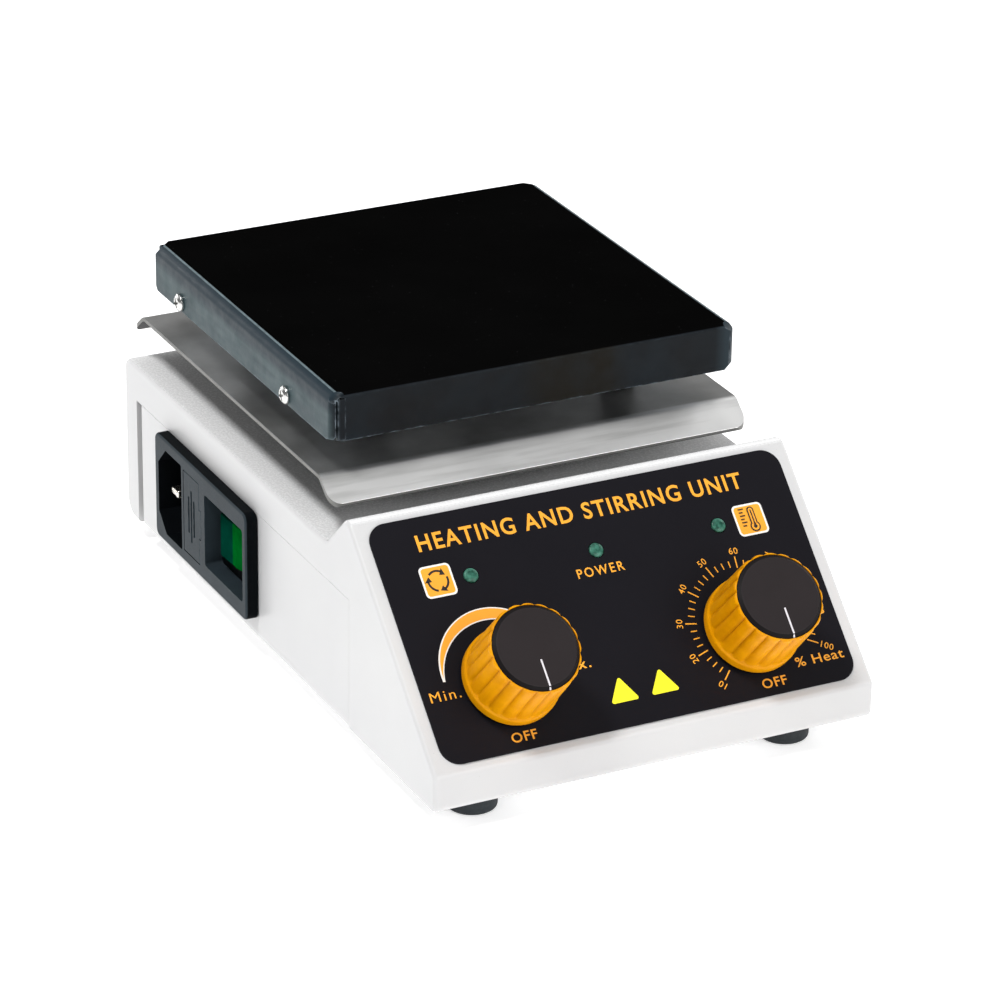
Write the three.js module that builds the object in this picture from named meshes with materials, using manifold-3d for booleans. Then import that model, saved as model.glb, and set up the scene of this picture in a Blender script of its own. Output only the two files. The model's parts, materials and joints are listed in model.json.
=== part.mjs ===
// Hot plate magnetic stirrer: a sloped-front bench instrument with a square heated plate held on four
// pillars above a heat shield, and a motor that spins two magnets under the shield.
// Millimetres, +Z up. Inside this file X runs across the front (0 is the middle), Y runs from the front lip
// to the back and Z starts on the bench. The group is then moved so that its box is centred on the origin.
import * as THREE from "three";
import { mergeVertices } from "three/addons/utils/BufferGeometryUtils.js";
import Module from "manifold-3d";

// Driving dimensions
const GAP = 0.3; // clearance between pieces that touch
const WIDTH = 120; // housing, across
const DEPTH = 190; // housing, front to back
const WALL = 2.5; // housing wall
const BASE_Z = 6; // lower rim of the housing, on the feet
const LIP_Z = 15.6; // top of the front lip, where the panel starts
const RIDGE_Y = 49.6; // top edge of the sloped panel
const RIDGE_Z = 62.9;
const DECK_Y = 61.5; // foot of the short ramp behind the ridge
const DECK_Z = 51.4; // flat deck under the heat shield

const SHEET = 1.5; // base tray metal
const TRAY_SIDE_Y = [48, 178.5]; // the tray's upturned sides, front and back ends
const TRAY_SIDE_Z = 41.5; // their top edge
const TRAY_SLOT = 2.8; // open slot behind each side

const PLATE = 111.8; // hot plate, square
const PLATE_Z = 87; // top surface
const SKIRT = 12.5; // depth of its folded skirt
const COVER_SHEET = 1.2;
const PLATE_Y = 122.8; // stirring axis, at the plate's centre

const SHIELD_WIDTH = 116;
const SHIELD_Y = [69.4, 181.2]; // fold lines at the front and the back
const SHIELD_Z = 65.4; // top surface
const SHIELD_SHEET = 1;
const FLANGE_RUN = 6.8; // folded edge, outwards
const FLANGE_DROP = 5.3; // and down
const PILLAR_X = 35; // four pillars at +-X, +-Y from the stirring axis
const PILLAR_Y = 33;
const SCREW_R = 2; // pillar screws

const KNOB_X = [-33.6, 32.2]; // control axes, stirring on the left and heating on the right
const KNOB_V = 20.2; // and up the slope from the lip
const KNOB_R = 11.8;
const KNOB_H = 21.3; // top of the cap above the panel
const FLUTES = 20;
const BORE_R = 3.3; // knob bore
const SHAFT_R = 3; // control shaft
const LED_V = 47.7;
const LED_X = [-34, 0, 34];
const LED_R = 1.95;
const LABEL = [113, 62.8]; // panel overlay, across and up the slope
const LABEL_V = 33.6; // its centre
const LABEL_CORNER = 5;

const INLET_Y = [102.1, 161.2]; // inlet module flange on the left side
const INLET_Z = [12.2, 41.9];
const INLET_PROUD = 3.6; // flange face, out from the side wall
const RECESS_Y = [143.4, 158.8]; // appliance inlet recess
const RECESS_Z = [15, 39];
const DRAWER_Y = [131.8, 142.2]; // fuse drawer pocket
const DRAWER_Z = [15.5, 38.5];
const ROCKER_Y = [104.2, 128.4]; // switch recess
const ROCKER_Z = [16.9, 37];
const ROCKER_TILT = THREE.MathUtils.degToRad(10); // either side of level

const SIDE_X = WIDTH / 2;
const SLOPE = Math.atan2(RIDGE_Z - LIP_Z, RIDGE_Y);
const STEPS = 24; // sides of a round piece
const SMALL_STEPS = 10; // and of a screw or its hole

// ---- Geometry helpers ----

const wasm = await Module();
wasm.setup();

function solid(geometry) {
  const bare = geometry.clone();
  bare.deleteAttribute("normal");
  bare.deleteAttribute("uv");
  const merged = mergeVertices(bare, 1e-4);
  return new wasm.Manifold(
    new wasm.Mesh({
      numProp: 3,
      vertProperties: merged.attributes.position.array,
      triVerts: new Uint32Array(merged.index.array),
    }),
  );
}

function surface(body) {
  const mesh = body.getMesh();
  const geometry = new THREE.BufferGeometry();
  geometry.setAttribute("position", new THREE.BufferAttribute(mesh.vertProperties, 3));
  geometry.setIndex(new THREE.BufferAttribute(mesh.triVerts, 1));
  geometry.computeVertexNormals();
  return geometry;
}

// The first solid joined with the rest.
function join(first, ...rest) {
  return rest.reduce((whole, piece) => whole.add(piece), first);
}

// The first solid with the rest cut away.
function cut(first, ...rest) {
  return rest.reduce((whole, piece) => whole.subtract(piece), first);
}

// A box between two limits on each axis.
function box([x0, x1], [y0, y1], [z0, z1]) {
  const geometry = new THREE.BoxGeometry(x1 - x0, y1 - y0, z1 - z0);
  return solid(geometry.translate((x0 + x1) / 2, (y0 + y1) / 2, (z0 + z1) / 2));
}

// A solid of revolution about Z through (x, y), from [radius, z] points.
function turned(points, x = 0, y = 0, steps = STEPS) {
  const profile = points.map(([r, z]) => new THREE.Vector2(r, z));
  const geometry = new THREE.LatheGeometry(profile, steps);
  return solid(geometry.rotateX(Math.PI / 2).translate(x, y, 0));
}

// A plain round bar along Z.
function rod(radius, [z0, z1], x = 0, y = 0, steps = STEPS) {
  return turned([[0, z0], [radius, z0], [radius, z1], [0, z1]], x, y, steps);
}

// A tube along Z.
function tube(inner, outer, [z0, z1], x = 0, y = 0, steps = STEPS) {
  return cut(rod(outer, [z0, z1], x, y, steps), rod(inner, [z0 - 1, z1 + 1], x, y, steps));
}

// A closed outline whose corners [a, b, radius] are rounded off.
function outline(corners) {
  const shape = new THREE.Shape();
  corners.forEach(([a, b, radius = 0], i) => {
    const corner = new THREE.Vector2(a, b);
    const before = new THREE.Vector2(...corners.at(i - 1).slice(0, 2));
    const after = new THREE.Vector2(...corners[(i + 1) % corners.length].slice(0, 2));
    const enter = corner.clone().add(before.sub(corner).setLength(radius));
    const leave = corner.clone().add(after.sub(corner).setLength(radius));
    if (i === 0) shape.moveTo(enter.x, enter.y);
    else shape.lineTo(enter.x, enter.y);
    if (radius > 0) shape.quadraticCurveTo(a, b, leave.x, leave.y);
  });
  shape.closePath();
  return shape;
}

// The same corners moved inwards by a distance, for a counter-clockwise outline.
function inset(corners, distance) {
  return corners.map(([a, b, radius = 0], i) => {
    const [pa, pb] = corners.at(i - 1);
    const [na, nb] = corners[(i + 1) % corners.length];
    const first = new THREE.Vector2(a - pa, b - pb).normalize();
    const second = new THREE.Vector2(na - a, nb - b).normalize();
    const turn = 1 + first.dot(second);
    const shiftA = (-(first.y + second.y) * distance) / turn;
    const shiftB = ((first.x + second.x) * distance) / turn;
    return [a + shiftA, b + shiftB, Math.max(radius - distance, 0)];
  });
}

function rectangle([a0, a1], [b0, b1], radius = 0) {
  return outline([[a0, b0, radius], [a1, b0, radius], [a1, b1, radius], [a0, b1, radius]]);
}

// An X-Y outline stood up between two heights.
function standing(shape, [z0, z1], curveSegments = 3) {
  const options = { depth: z1 - z0, bevelEnabled: false, curveSegments };
  return solid(new THREE.ExtrudeGeometry(shape, options).translate(0, 0, z0));
}

// A Y-Z outline drawn out along X.
function across(shape, [x0, x1], curveSegments = 4) {
  const options = { depth: x1 - x0, bevelEnabled: false, curveSegments };
  const geometry = new THREE.ExtrudeGeometry(shape, options);
  // The outline's own axes become Y and Z, and its depth becomes X.
  geometry.applyMatrix4(new THREE.Matrix4().set(0, 0, 1, x0, 1, 0, 0, 0, 0, 1, 0, 0, 0, 0, 0, 1));
  return solid(geometry);
}

// An X-Z outline drawn out along Y.
function along(shape, [y0, y1], curveSegments = 3) {
  const options = { depth: y1 - y0, bevelEnabled: false, curveSegments };
  const geometry = new THREE.ExtrudeGeometry(shape, options);
  geometry.rotateX(Math.PI / 2).translate(0, y1, 0);
  return solid(geometry);
}

// ---- Materials ----

function material(color, roughness, metalness) {
  return new THREE.MeshStandardMaterial({ color, roughness, metalness });
}

const powderCoat = material(0xe9eaec, 0.55, 0);
const galvanised = material(0xb4b6b6, 0.4, 0.9);
const steel = material(0xc9cacc, 0.3, 1);
const aluminium = material(0xb9bcc0, 0.45, 0.9);
const brass = material(0xb8934a, 0.35, 1);
const slatePaint = material(0x3a434a, 0.5, 0.1);
const labelFilm = material(0x1a1a1f, 0.4, 0);
const yellowPlastic = material(0xf0a50a, 0.4, 0);
const darkPlastic = material(0x342e30, 0.35, 0);
const blackPlastic = material(0x2a3036, 0.5, 0);
const greenPlastic = material(0x006e28, 0.3, 0);
const greenLens = material(0x3c7869, 0.2, 0);
const rubber = material(0x232a2e, 0.8, 0);
const ceramic = material(0xe8e2d4, 0.5, 0);
const fibre = material(0xf2f0ea, 0.95, 0);
const magnetAlloy = material(0x8f9296, 0.3, 1);
const boardLaminate = material(0x1e5b38, 0.5, 0);
const glassTube = material(0xd8e0e0, 0.1, 0);

const stirrer = new THREE.Group();
const panel = new THREE.Group(); // lip edge at the origin, Y up the slope, Z out of the panel
panel.position.set(0, 0, LIP_Z);
panel.rotation.x = SLOPE;
panel.updateMatrix();
stirrer.add(panel);

function node(name, body, finish, parent = stirrer) {
  const mesh = new THREE.Mesh(surface(body), finish);
  mesh.name = name;
  parent.add(mesh);
  return mesh;
}

// A solid made in the panel's frame, carried to the housing's frame.
function onPanel(body) {
  return body.transform(panel.matrix.elements);
}

// A function called once for each corner of a rectangle, with its signs and a corner number.
function corners(make) {
  [[-1, -1], [1, -1], [-1, 1], [1, 1]].forEach(([sx, sy], i) => make(sx, sy, i + 1));
}

// ---- Housing ----

const BOSS_X = 51.5; // screw bosses inside the housing
const BOSS_Y = [32, 182.6];
const BOSS_R = 3.5;
const BASE_SCREW_R = 1.5;
const TRAY_Z = BASE_Z + GAP; // underside of the base tray
const TRAY_TOP = TRAY_Z + SHEET;
const HUB_HOLE_R = 6;
const CONTROL_HOLE_R = 4;

function housing() {
  const profile = [
    [0, BASE_Z, 1],
    [DEPTH, BASE_Z, 5],
    [DEPTH, DECK_Z, 3],
    [DECK_Y, DECK_Z, 3],
    [RIDGE_Y, RIDGE_Z, 3],
    [0, LIP_Z, 2],
  ];
  const plan = rectangle([-SIDE_X, SIDE_X], [0, DEPTH], 4);
  const whole = across(outline(profile), [-SIDE_X, SIDE_X]).intersect(
    standing(plan, [0, RIDGE_Z + 1], 4),
  );
  const inner = inset(profile, WALL);
  inner[0][1] = 0; // the hollow runs out through the bottom
  inner[1][1] = 0;
  inner[1][2] = 0;
  const hollow = across(outline(inner), [WALL - SIDE_X, SIDE_X - WALL]);
  const top = DECK_Z + 1;
  const bosses = BOSS_Y.flatMap((y) =>
    [-1, 1].map((side) => rod(BOSS_R, [TRAY_TOP + GAP, top], side * BOSS_X, y, SMALL_STEPS)),
  );
  const shell = join(cut(whole, hollow), ...bosses.map((boss) => boss.intersect(whole)));
  const window = box(
    [-SIDE_X - 1, SIDE_X + 1],
    [TRAY_SIDE_Y[0] - GAP, TRAY_SIDE_Y[1] + TRAY_SLOT],
    [0, TRAY_SIDE_Z + GAP],
  );
  // The window is cut through both side walls only.
  const sides = cut(window, box([WALL - SIDE_X, SIDE_X - WALL], [0, DEPTH], [-1, DECK_Z]));
  const screwHoles = BOSS_Y.flatMap((y) =>
    [-1, 1].map((side) => rod(BASE_SCREW_R + GAP, [0, TRAY_TOP + 11], side * BOSS_X, y, SMALL_STEPS)),
  );
  const controlHoles = KNOB_X.map((x) => onPanel(rod(CONTROL_HOLE_R, [-6, 3], x, KNOB_V, 16)));
  const lightHoles = LED_X.map((x) => onPanel(rod(LED_R + GAP, [-6, 3], x, LED_V, 12)));
  const deckHoles = [rod(HUB_HOLE_R, [DECK_Z - 5, DECK_Z + 2], 0, PLATE_Y, 16)];
  corners((sx, sy) => {
    deckHoles.push(pillarHole(sx, sy, [DECK_Z - 5, DECK_Z + 2]));
  });
  return cut(shell, sides, ...screwHoles, ...controlHoles, ...lightHoles, ...deckHoles);
}

const INLET_BODY_Y = [INLET_Y[0] + 1.5, INLET_Y[1] - 1.2];
const INLET_BODY_Z = [RECESS_Z[0] - 1.2, RECESS_Z[1] + 1.2];
const FOOT_X = [-44.5, 41.5]; // the front feet sit a little off centre
const FOOT_Y = [11.5, 176];
const STEM_R = 2.4;

function feetPlaces() {
  return FOOT_Y.flatMap((y) => FOOT_X.map((x) => [x, y]));
}

function baseTray() {
  const inside = SIDE_X - WALL - GAP;
  const floor = box([-inside, inside], [WALL + GAP, DEPTH - WALL - GAP], [TRAY_Z, TRAY_TOP]);
  const bend = 2;
  const sides = outline([
    [-SIDE_X, TRAY_Z, bend],
    [SIDE_X, TRAY_Z, bend],
    [SIDE_X, TRAY_SIDE_Z],
    [SIDE_X - SHEET, TRAY_SIDE_Z],
    [SIDE_X - SHEET, TRAY_TOP, bend - SHEET],
    [SHEET - SIDE_X, TRAY_TOP, bend - SHEET],
    [SHEET - SIDE_X, TRAY_SIDE_Z],
    [-SIDE_X, TRAY_SIDE_Z],
  ]);
  const inletHole = box(
    [-SIDE_X - 1, SHEET - SIDE_X + 1],
    [INLET_BODY_Y[0] - GAP, INLET_BODY_Y[1] + GAP],
    [INLET_BODY_Z[0] - GAP, INLET_BODY_Z[1] + GAP],
  );
  const holes = feetPlaces().map(([x, y]) => rod(STEM_R + GAP, [0, 12], x, y, 12));
  BOSS_Y.forEach((y) => {
    [-1, 1].forEach((side) => holes.push(rod(BASE_SCREW_R + GAP, [0, 12], side * BOSS_X, y, SMALL_STEPS)));
  });
  const slotPitch = 8;
  const vents = [-2, -1, 0, 1, 2].map((i) => {
    const x = i * slotPitch;
    return standing(rectangle([x - 1.5, x + 1.5], [105, 140], 1.5), [0, 12], 2);
  });
  return cut(join(floor, along(sides, TRAY_SIDE_Y)), inletHole, ...holes, ...vents);
}

function baseScrew(x, y) {
  const head = TRAY_Z - GAP;
  const profile = [
    [0, head - 1.8],
    [1.9, head - 1.8],
    [2.8, head - 0.9],
    [2.8, head],
    [BASE_SCREW_R, head],
    [BASE_SCREW_R, TRAY_TOP + 9],
    [0, TRAY_TOP + 9],
  ];
  const slots = [
    box([x - 1.5, x + 1.5], [y - 0.3, y + 0.3], [head - 3, head - 1.1]),
    box([x - 0.3, x + 0.3], [y - 1.5, y + 1.5], [head - 3, head - 1.1]),
  ];
  return cut(turned(profile, x, y, SMALL_STEPS), ...slots);
}

function foot(x, y) {
  const top = TRAY_Z - GAP;
  const profile = [
    [0, 0],
    [6.1, 0],
    [6.6, 0.6],
    [6.6, top - 0.5],
    [6.2, top],
    [STEM_R, top],
    [STEM_R, TRAY_TOP + GAP],
    [3.3, TRAY_TOP + GAP],
    [2.2, TRAY_TOP + 2.5],
    [0, TRAY_TOP + 2.5],
  ];
  return turned(profile, x, y, 16);
}

// ---- Control panel ----

const LABEL_Z = [GAP, GAP + 0.4];

function frontLabel() {
  const [w, h] = LABEL;
  const shape = rectangle([-w / 2, w / 2], [LABEL_V - h / 2, LABEL_V + h / 2], LABEL_CORNER);
  const film = standing(shape, LABEL_Z, 4);
  const controls = KNOB_X.map((x) => rod(CONTROL_HOLE_R + 0.2, [-1, 2], x, KNOB_V, 16));
  const lights = LED_X.map((x) => rod(LED_R + GAP, [-1, 2], x, LED_V, 12));
  return cut(film, ...controls, ...lights);
}

function led(x) {
  const under = -WALL - GAP;
  const dome = LABEL_Z[1] + 0.3;
  const profile = [
    [0, under - 1.6],
    [2.7, under - 1.6],
    [2.7, under],
    [LED_R, under],
    [LED_R, dome],
    [LED_R * 0.8, dome + 0.6],
    [LED_R * 0.45, dome + 0.9],
    [0, dome + 1],
  ];
  return turned(profile, x, LED_V, 12);
}

const KNOB_BASE = LABEL_Z[1] + 0.8; // underside of the knob above the panel
const BAND = 3; // smooth ring at the foot of the knob
const CAP_H = 1.8;
const CAP_R = 10.9;

function flutedOutline(radius, depth) {
  const shape = new THREE.Shape();
  const perFlute = 3;
  const count = FLUTES * perFlute;
  for (let i = 0; i < count; i++) {
    const angle = (i / count) * 2 * Math.PI;
    const r = radius - depth * (0.5 - 0.5 * Math.cos(angle * FLUTES));
    if (i === 0) shape.moveTo(r * Math.cos(angle), r * Math.sin(angle));
    else shape.lineTo(r * Math.cos(angle), r * Math.sin(angle));
  }
  shape.closePath();
  return shape;
}

// Knob, cap, shaft, body and nut of one control are all made about the origin of the panel's Z axis.
function knob() {
  const body = standing(flutedOutline(KNOB_R, 0.45), [KNOB_BASE + 1, KNOB_H - 0.9]);
  const band = turned(
    [
      [0, KNOB_BASE],
      [KNOB_R + 0.6, KNOB_BASE],
      [KNOB_R + 0.6, KNOB_BASE + BAND - 0.9],
      [KNOB_R - 0.3, KNOB_BASE + BAND],
      [0, KNOB_BASE + BAND],
    ],
    0,
    0,
    2 * FLUTES,
  );
  const underside = rod(8.4, [0, KNOB_BASE + 5], 0, 0, 16);
  const bore = rod(BORE_R, [0, KNOB_H - 5], 0, 0, 12);
  const capSeat = rod(CAP_R + GAP, [KNOB_H - CAP_H - GAP, KNOB_H + 1], 0, 0, 2 * FLUTES);
  return cut(join(body, band), underside, bore, capSeat);
}

function knobCap() {
  const foot = KNOB_H - CAP_H;
  const profile = [
    [0, foot],
    [CAP_R, foot],
    [CAP_R, KNOB_H - 0.5],
    [CAP_R - 0.7, KNOB_H],
    [0, KNOB_H],
  ];
  const pointer = box([-0.35, 0.35], [-CAP_R + 0.4, -2.5], [KNOB_H - 0.25, KNOB_H + 1]);
  return cut(turned(profile, 0, 0, 2 * FLUTES), pointer);
}

const NUT_Z = [LABEL_Z[1] + GAP, LABEL_Z[1] + GAP + 2.2];
const BUSH_R = 3.7;
const BUSH_TOP = KNOB_BASE + 3.4;
const BODY_Z = -WALL - GAP; // the control's body starts behind the panel
const SHAFT_END = KNOB_H - 5 - GAP;

// The bushing is open at the front, and the shaft turns in it.
function controlBody(shape, depth) {
  const body = standing(shape, [BODY_Z - depth, BODY_Z]);
  const bush = rod(BUSH_R, [BODY_Z - 0.5, BUSH_TOP], 0, 0, 16);
  const bore = rod(SHAFT_R + 0.35, [BODY_Z - depth + 3, BUSH_TOP + 1], 0, 0, 16);
  return cut(join(body, bush), bore);
}

function speedControlShape() {
  return new THREE.Shape().absarc(0, 0, 11, 0, 2 * Math.PI);
}

function controlShaft(depth) {
  return rod(SHAFT_R, [BODY_Z - depth + 3 + GAP, SHAFT_END], 0, 0, 12);
}

function controlNut() {
  const hexagon = rod(6.1, NUT_Z, 0, 0, 6);
  return cut(hexagon, rod(BUSH_R + GAP, [-1, 9], 0, 0, 12));
}

// ---- Mains inlet module, on the left side ----

const FACE_X = -SIDE_X - INLET_PROUD; // outer face of the flange
const FLANGE_BACK = -SIDE_X - GAP;
const BODY_BACK = -40;
const RECESS_FLOOR = -46;
const MID_Z = (RECESS_Z[0] + RECESS_Z[1]) / 2;
const SWITCH_FLOOR = FACE_X + 4.9;
const PIVOT = new THREE.Vector2(FACE_X + 7.2, (ROCKER_Y[0] + ROCKER_Y[1]) / 2); // x, y
const PADDLE = [18, 12]; // rocker length along Y and height along Z

// The appliance inlet's outline: a rectangle with the two back corners cut off.
function inletOutline(margin) {
  const [y0, y1] = [RECESS_Y[0] - margin, RECESS_Y[1] + margin];
  const [z0, z1] = [RECESS_Z[0] - margin, RECESS_Z[1] + margin];
  const chamfer = 5;
  return outline([
    [y0, z0, 0.6],
    [y1 - chamfer, z0],
    [y1, z0 + chamfer],
    [y1, z1 - chamfer],
    [y1 - chamfer, z1],
    [y0, z1, 0.6],
  ]);
}

function pinPlaces() {
  const middle = (RECESS_Y[0] + RECESS_Y[1]) / 2;
  return [
    ["earth", middle + 2, MID_Z],
    ["live", middle - 2, MID_Z - 7],
    ["neutral", middle - 2, MID_Z + 7],
  ];
}

function inletHousing() {
  const flange = across(rectangle(INLET_Y, INLET_Z, 2), [FACE_X, FLANGE_BACK]);
  const body = box([FLANGE_BACK - 0.5, BODY_BACK], INLET_BODY_Y, INLET_BODY_Z);
  const recess = across(inletOutline(0), [FACE_X - 1, RECESS_FLOOR]);
  const pocket = box([FACE_X - 1, RECESS_FLOOR], DRAWER_Y, DRAWER_Z);
  const switchRecess = across(rectangle(ROCKER_Y, ROCKER_Z, 0.8), [FACE_X - 1, SWITCH_FLOOR]);
  const [length, height] = PADDLE;
  const paddleHole = box(
    [SWITCH_FLOOR - 1, RECESS_FLOOR],
    [PIVOT.y - length / 2 - 0.6, PIVOT.y + length / 2 + 0.6],
    [MID_Z - height / 2 - 0.4, MID_Z + height / 2 + 0.4],
  );
  const slots = pinPlaces().map(([, y, z]) =>
    box([RECESS_FLOOR - 1, BODY_BACK + 1], [y - 2.3, y + 2.3], [z - 1.3, z + 1.3]),
  );
  return cut(join(flange, body), recess, pocket, switchRecess, paddleHole, ...slots);
}

function inletPin(y, z) {
  const blade = box([FACE_X + 2.6, BODY_BACK + 6], [y - 2, y + 2], [z - 1, z + 1]);
  const tip = box([FACE_X + 2, FACE_X + 3], [y - 1.5, y + 1.5], [z - 0.6, z + 0.6]);
  return join(blade, tip);
}

const DRAWER_BACK = RECESS_FLOOR - 1;

function fuseDrawer() {
  const [y0, y1] = [DRAWER_Y[0] + GAP, DRAWER_Y[1] - GAP];
  const [z0, z1] = [DRAWER_Z[0] + GAP, DRAWER_Z[1] - GAP];
  const block = box([FACE_X, DRAWER_BACK], [y0, y1], [z0, z1]);
  const tray = box([FACE_X + 3, DRAWER_BACK + 1], [y0 + 1.4, y1 - 1.4], [z0 + 0.8, z1 - 0.8]);
  const middle = (y0 + y1) / 2;
  const grooves = [-1.6, 0, 1.6].map((step) =>
    box([FACE_X - 1, FACE_X + 0.6], [middle + step - 0.35, middle + step + 0.35], [MID_Z - 5, MID_Z + 5]),
  );
  return cut(block, tray, ...grooves);
}

function fuse() {
  const y = (DRAWER_Y[0] + DRAWER_Y[1]) / 2;
  const glass = rod(2.4, [MID_Z - 10, MID_Z + 10], FACE_X + 9, y, 12);
  const caps = [-10, 5].map((z) => rod(2.6, [MID_Z + z, MID_Z + z + 5], FACE_X + 9, y, 12));
  return join(glass, ...caps);
}

// The paddle is drawn level about its pivot and then tilted with its front half standing out.
function rocker() {
  const [length, height] = PADDLE;
  const half = length / 2;
  const crown = -4.2;
  const end = -3;
  const belly = 5.5;
  const shape = outline([
    [end, -half, 0.6],
    [belly, -half + 3.5, 2],
    [belly, half - 3.5, 2],
    [end, half, 0.6],
    [crown, 0, 1],
  ]);
  const options = { depth: height, bevelEnabled: false, curveSegments: 4 };
  const geometry = new THREE.ExtrudeGeometry(shape, options);
  geometry.rotateZ(ROCKER_TILT).translate(PIVOT.x, PIVOT.y, MID_Z - height / 2);
  return solid(geometry);
}

// ---- Heat shield and pillars ----

function pillarHole(sx, sy, heights) {
  const [x, y] = [sx * PILLAR_X, PLATE_Y + sy * PILLAR_Y];
  return rod(SCREW_R + GAP, heights, x, y, SMALL_STEPS);
}

function shield() {
  const [front, back] = SHIELD_Y;
  const t = SHIELD_SHEET;
  const lift = t / Math.cos(Math.atan2(FLANGE_DROP, FLANGE_RUN));
  const top = [
    [front - FLANGE_RUN, SHIELD_Z - FLANGE_DROP],
    [front, SHIELD_Z, 2.5],
    [back, SHIELD_Z, 2.5],
    [back + FLANGE_RUN, SHIELD_Z - FLANGE_DROP],
  ];
  const tuck = 0.3; // the lower fold lies a little inside the upper one
  const under = [
    [back + FLANGE_RUN, SHIELD_Z - FLANGE_DROP - lift],
    [back - tuck, SHIELD_Z - t, 1.8],
    [front + tuck, SHIELD_Z - t, 1.8],
    [front - FLANGE_RUN, SHIELD_Z - FLANGE_DROP - lift],
  ];
  const half = SHIELD_WIDTH / 2;
  const outer = [front - FLANGE_RUN, back + FLANGE_RUN];
  const sheet = across(outline([...top, ...under].reverse()), [-half, half], 3);
  const trimmed = sheet.intersect(standing(rectangle([-half, half], outer, 3), [50, 80]));
  const holes = [];
  corners((sx, sy) => {
    holes.push(pillarHole(sx, sy, [60, 70]));
  });
  return cut(trimmed, ...holes);
}

const BRACKET_Z = [DECK_Z - WALL - GAP - 2, DECK_Z - WALL - GAP];
const SKIRT_Z = PLATE_Z - SKIRT;
const TRAY_FLOOR = [SKIRT_Z + GAP, SKIRT_Z + GAP + 2]; // floor of the tray that closes the plate

function pillarScrew(x, y) {
  const seat = BRACKET_Z[0] - GAP;
  const head = rod(4, [seat - 2.8, seat], x, y, 6);
  return join(head, rod(SCREW_R, [seat - 0.5, TRAY_FLOOR[1]], x, y, SMALL_STEPS));
}

function lowerSpacer(x, y) {
  return tube(SCREW_R + GAP, 3.6, [DECK_Z + GAP, SHIELD_Z - SHIELD_SHEET - GAP], x, y, 12);
}

function upperSpacer(x, y) {
  return tube(SCREW_R + GAP, 4.5, [SHIELD_Z + GAP, TRAY_FLOOR[0] - GAP], x, y, 12);
}

// ---- Hot plate ----

const SIDE_SCREW_Z = SKIRT_Z + 2.5;
const SIDE_SCREW_Y = [93.5, 160];
const SIDE_SCREW_R = 1.2;

function plateLimits(margin) {
  const half = PLATE / 2 - margin;
  return [[-half, half], [PLATE_Y - half, PLATE_Y + half]];
}

function sideScrewHoles() {
  return SIDE_SCREW_Y.map((y) => {
    const hole = new THREE.CylinderGeometry(SIDE_SCREW_R + GAP, SIDE_SCREW_R + GAP, PLATE + 4, SMALL_STEPS);
    return solid(hole.rotateZ(Math.PI / 2).translate(0, y, SIDE_SCREW_Z));
  });
}

// The folded cover: a black-topped sheet with four flanges that meet in open seams at the corners.
function plateCover() {
  const [x, y] = plateLimits(0);
  const bend = 2.2;
  const options = {
    depth: PLATE_Z - 70 - 2 * bend,
    bevelThickness: bend,
    bevelSize: bend,
    bevelOffset: -bend,
    bevelSegments: 3,
    curveSegments: 3,
  };
  const rounded = new THREE.ExtrudeGeometry(rectangle(x, y, 3), options).translate(0, 0, 70 + bend);
  const whole = solid(rounded).intersect(box([-80, 80], [0, 200], [SKIRT_Z, PLATE_Z + 1]));
  const [ix, iy] = plateLimits(COVER_SHEET);
  const hollow = standing(rectangle(ix, iy, 1.8), [60, PLATE_Z - COVER_SHEET], 3);
  const seams = [];
  corners((sx, sy) => {
    const seamX = sx * (PLATE / 2 - 1.7);
    const edgeY = PLATE_Y + sy * (PLATE / 2 - COVER_SHEET);
    const reach = [edgeY - 1, edgeY + 3].map((v, i) => (sy > 0 ? v : [edgeY - 3, edgeY + 1][i]));
    seams.push(box([seamX - 0.2, seamX + 0.2], reach, [60, PLATE_Z - COVER_SHEET - 1.2]));
  });
  return cut(whole, hollow, ...seams, ...sideScrewHoles());
}

const HEATER_Z = [TRAY_FLOOR[1] + 2.5, TRAY_FLOOR[1] + 3.7];

function heatingPlate() {
  const [x, y] = plateLimits(COVER_SHEET + 1);
  return standing(rectangle(x, y, 2), [HEATER_Z[1] + GAP, PLATE_Z - COVER_SHEET - GAP]);
}

// A flat resistance winding between mica sheets, with two terminal tabs.
function heaterElement() {
  const [x, y] = plateLimits(8);
  const mica = standing(rectangle(x, y, 6), HEATER_Z);
  const tabs = [-1, 1].map((side) =>
    box([side * 8 - 3, side * 8 + 3], [y[1] - 1, y[1] + 4], HEATER_Z),
  );
  return join(mica, ...tabs);
}

function insulationPad() {
  const [x, y] = plateLimits(6);
  return standing(rectangle(x, y, 3), [TRAY_FLOOR[1] + GAP, HEATER_Z[0] - GAP]);
}

function plateTray() {
  const half = PLATE / 2 - COVER_SHEET - GAP;
  const [, y] = plateLimits(COVER_SHEET + 0.8);
  const sheet = 1.2;
  const [low, high] = TRAY_FLOOR;
  const upstand = low + 4.4;
  const shape = outline([
    [-half, low, 1],
    [half, low, 1],
    [half, upstand],
    [half - sheet, upstand],
    [half - sheet, high],
    [sheet - half, high],
    [sheet - half, upstand],
    [-half, upstand],
  ]);
  const holes = sideScrewHoles();
  corners((sx, sy) => {
    holes.push(pillarHole(sx, sy, [60, 80]));
  });
  return cut(along(shape, y, 2), ...holes);
}

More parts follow.
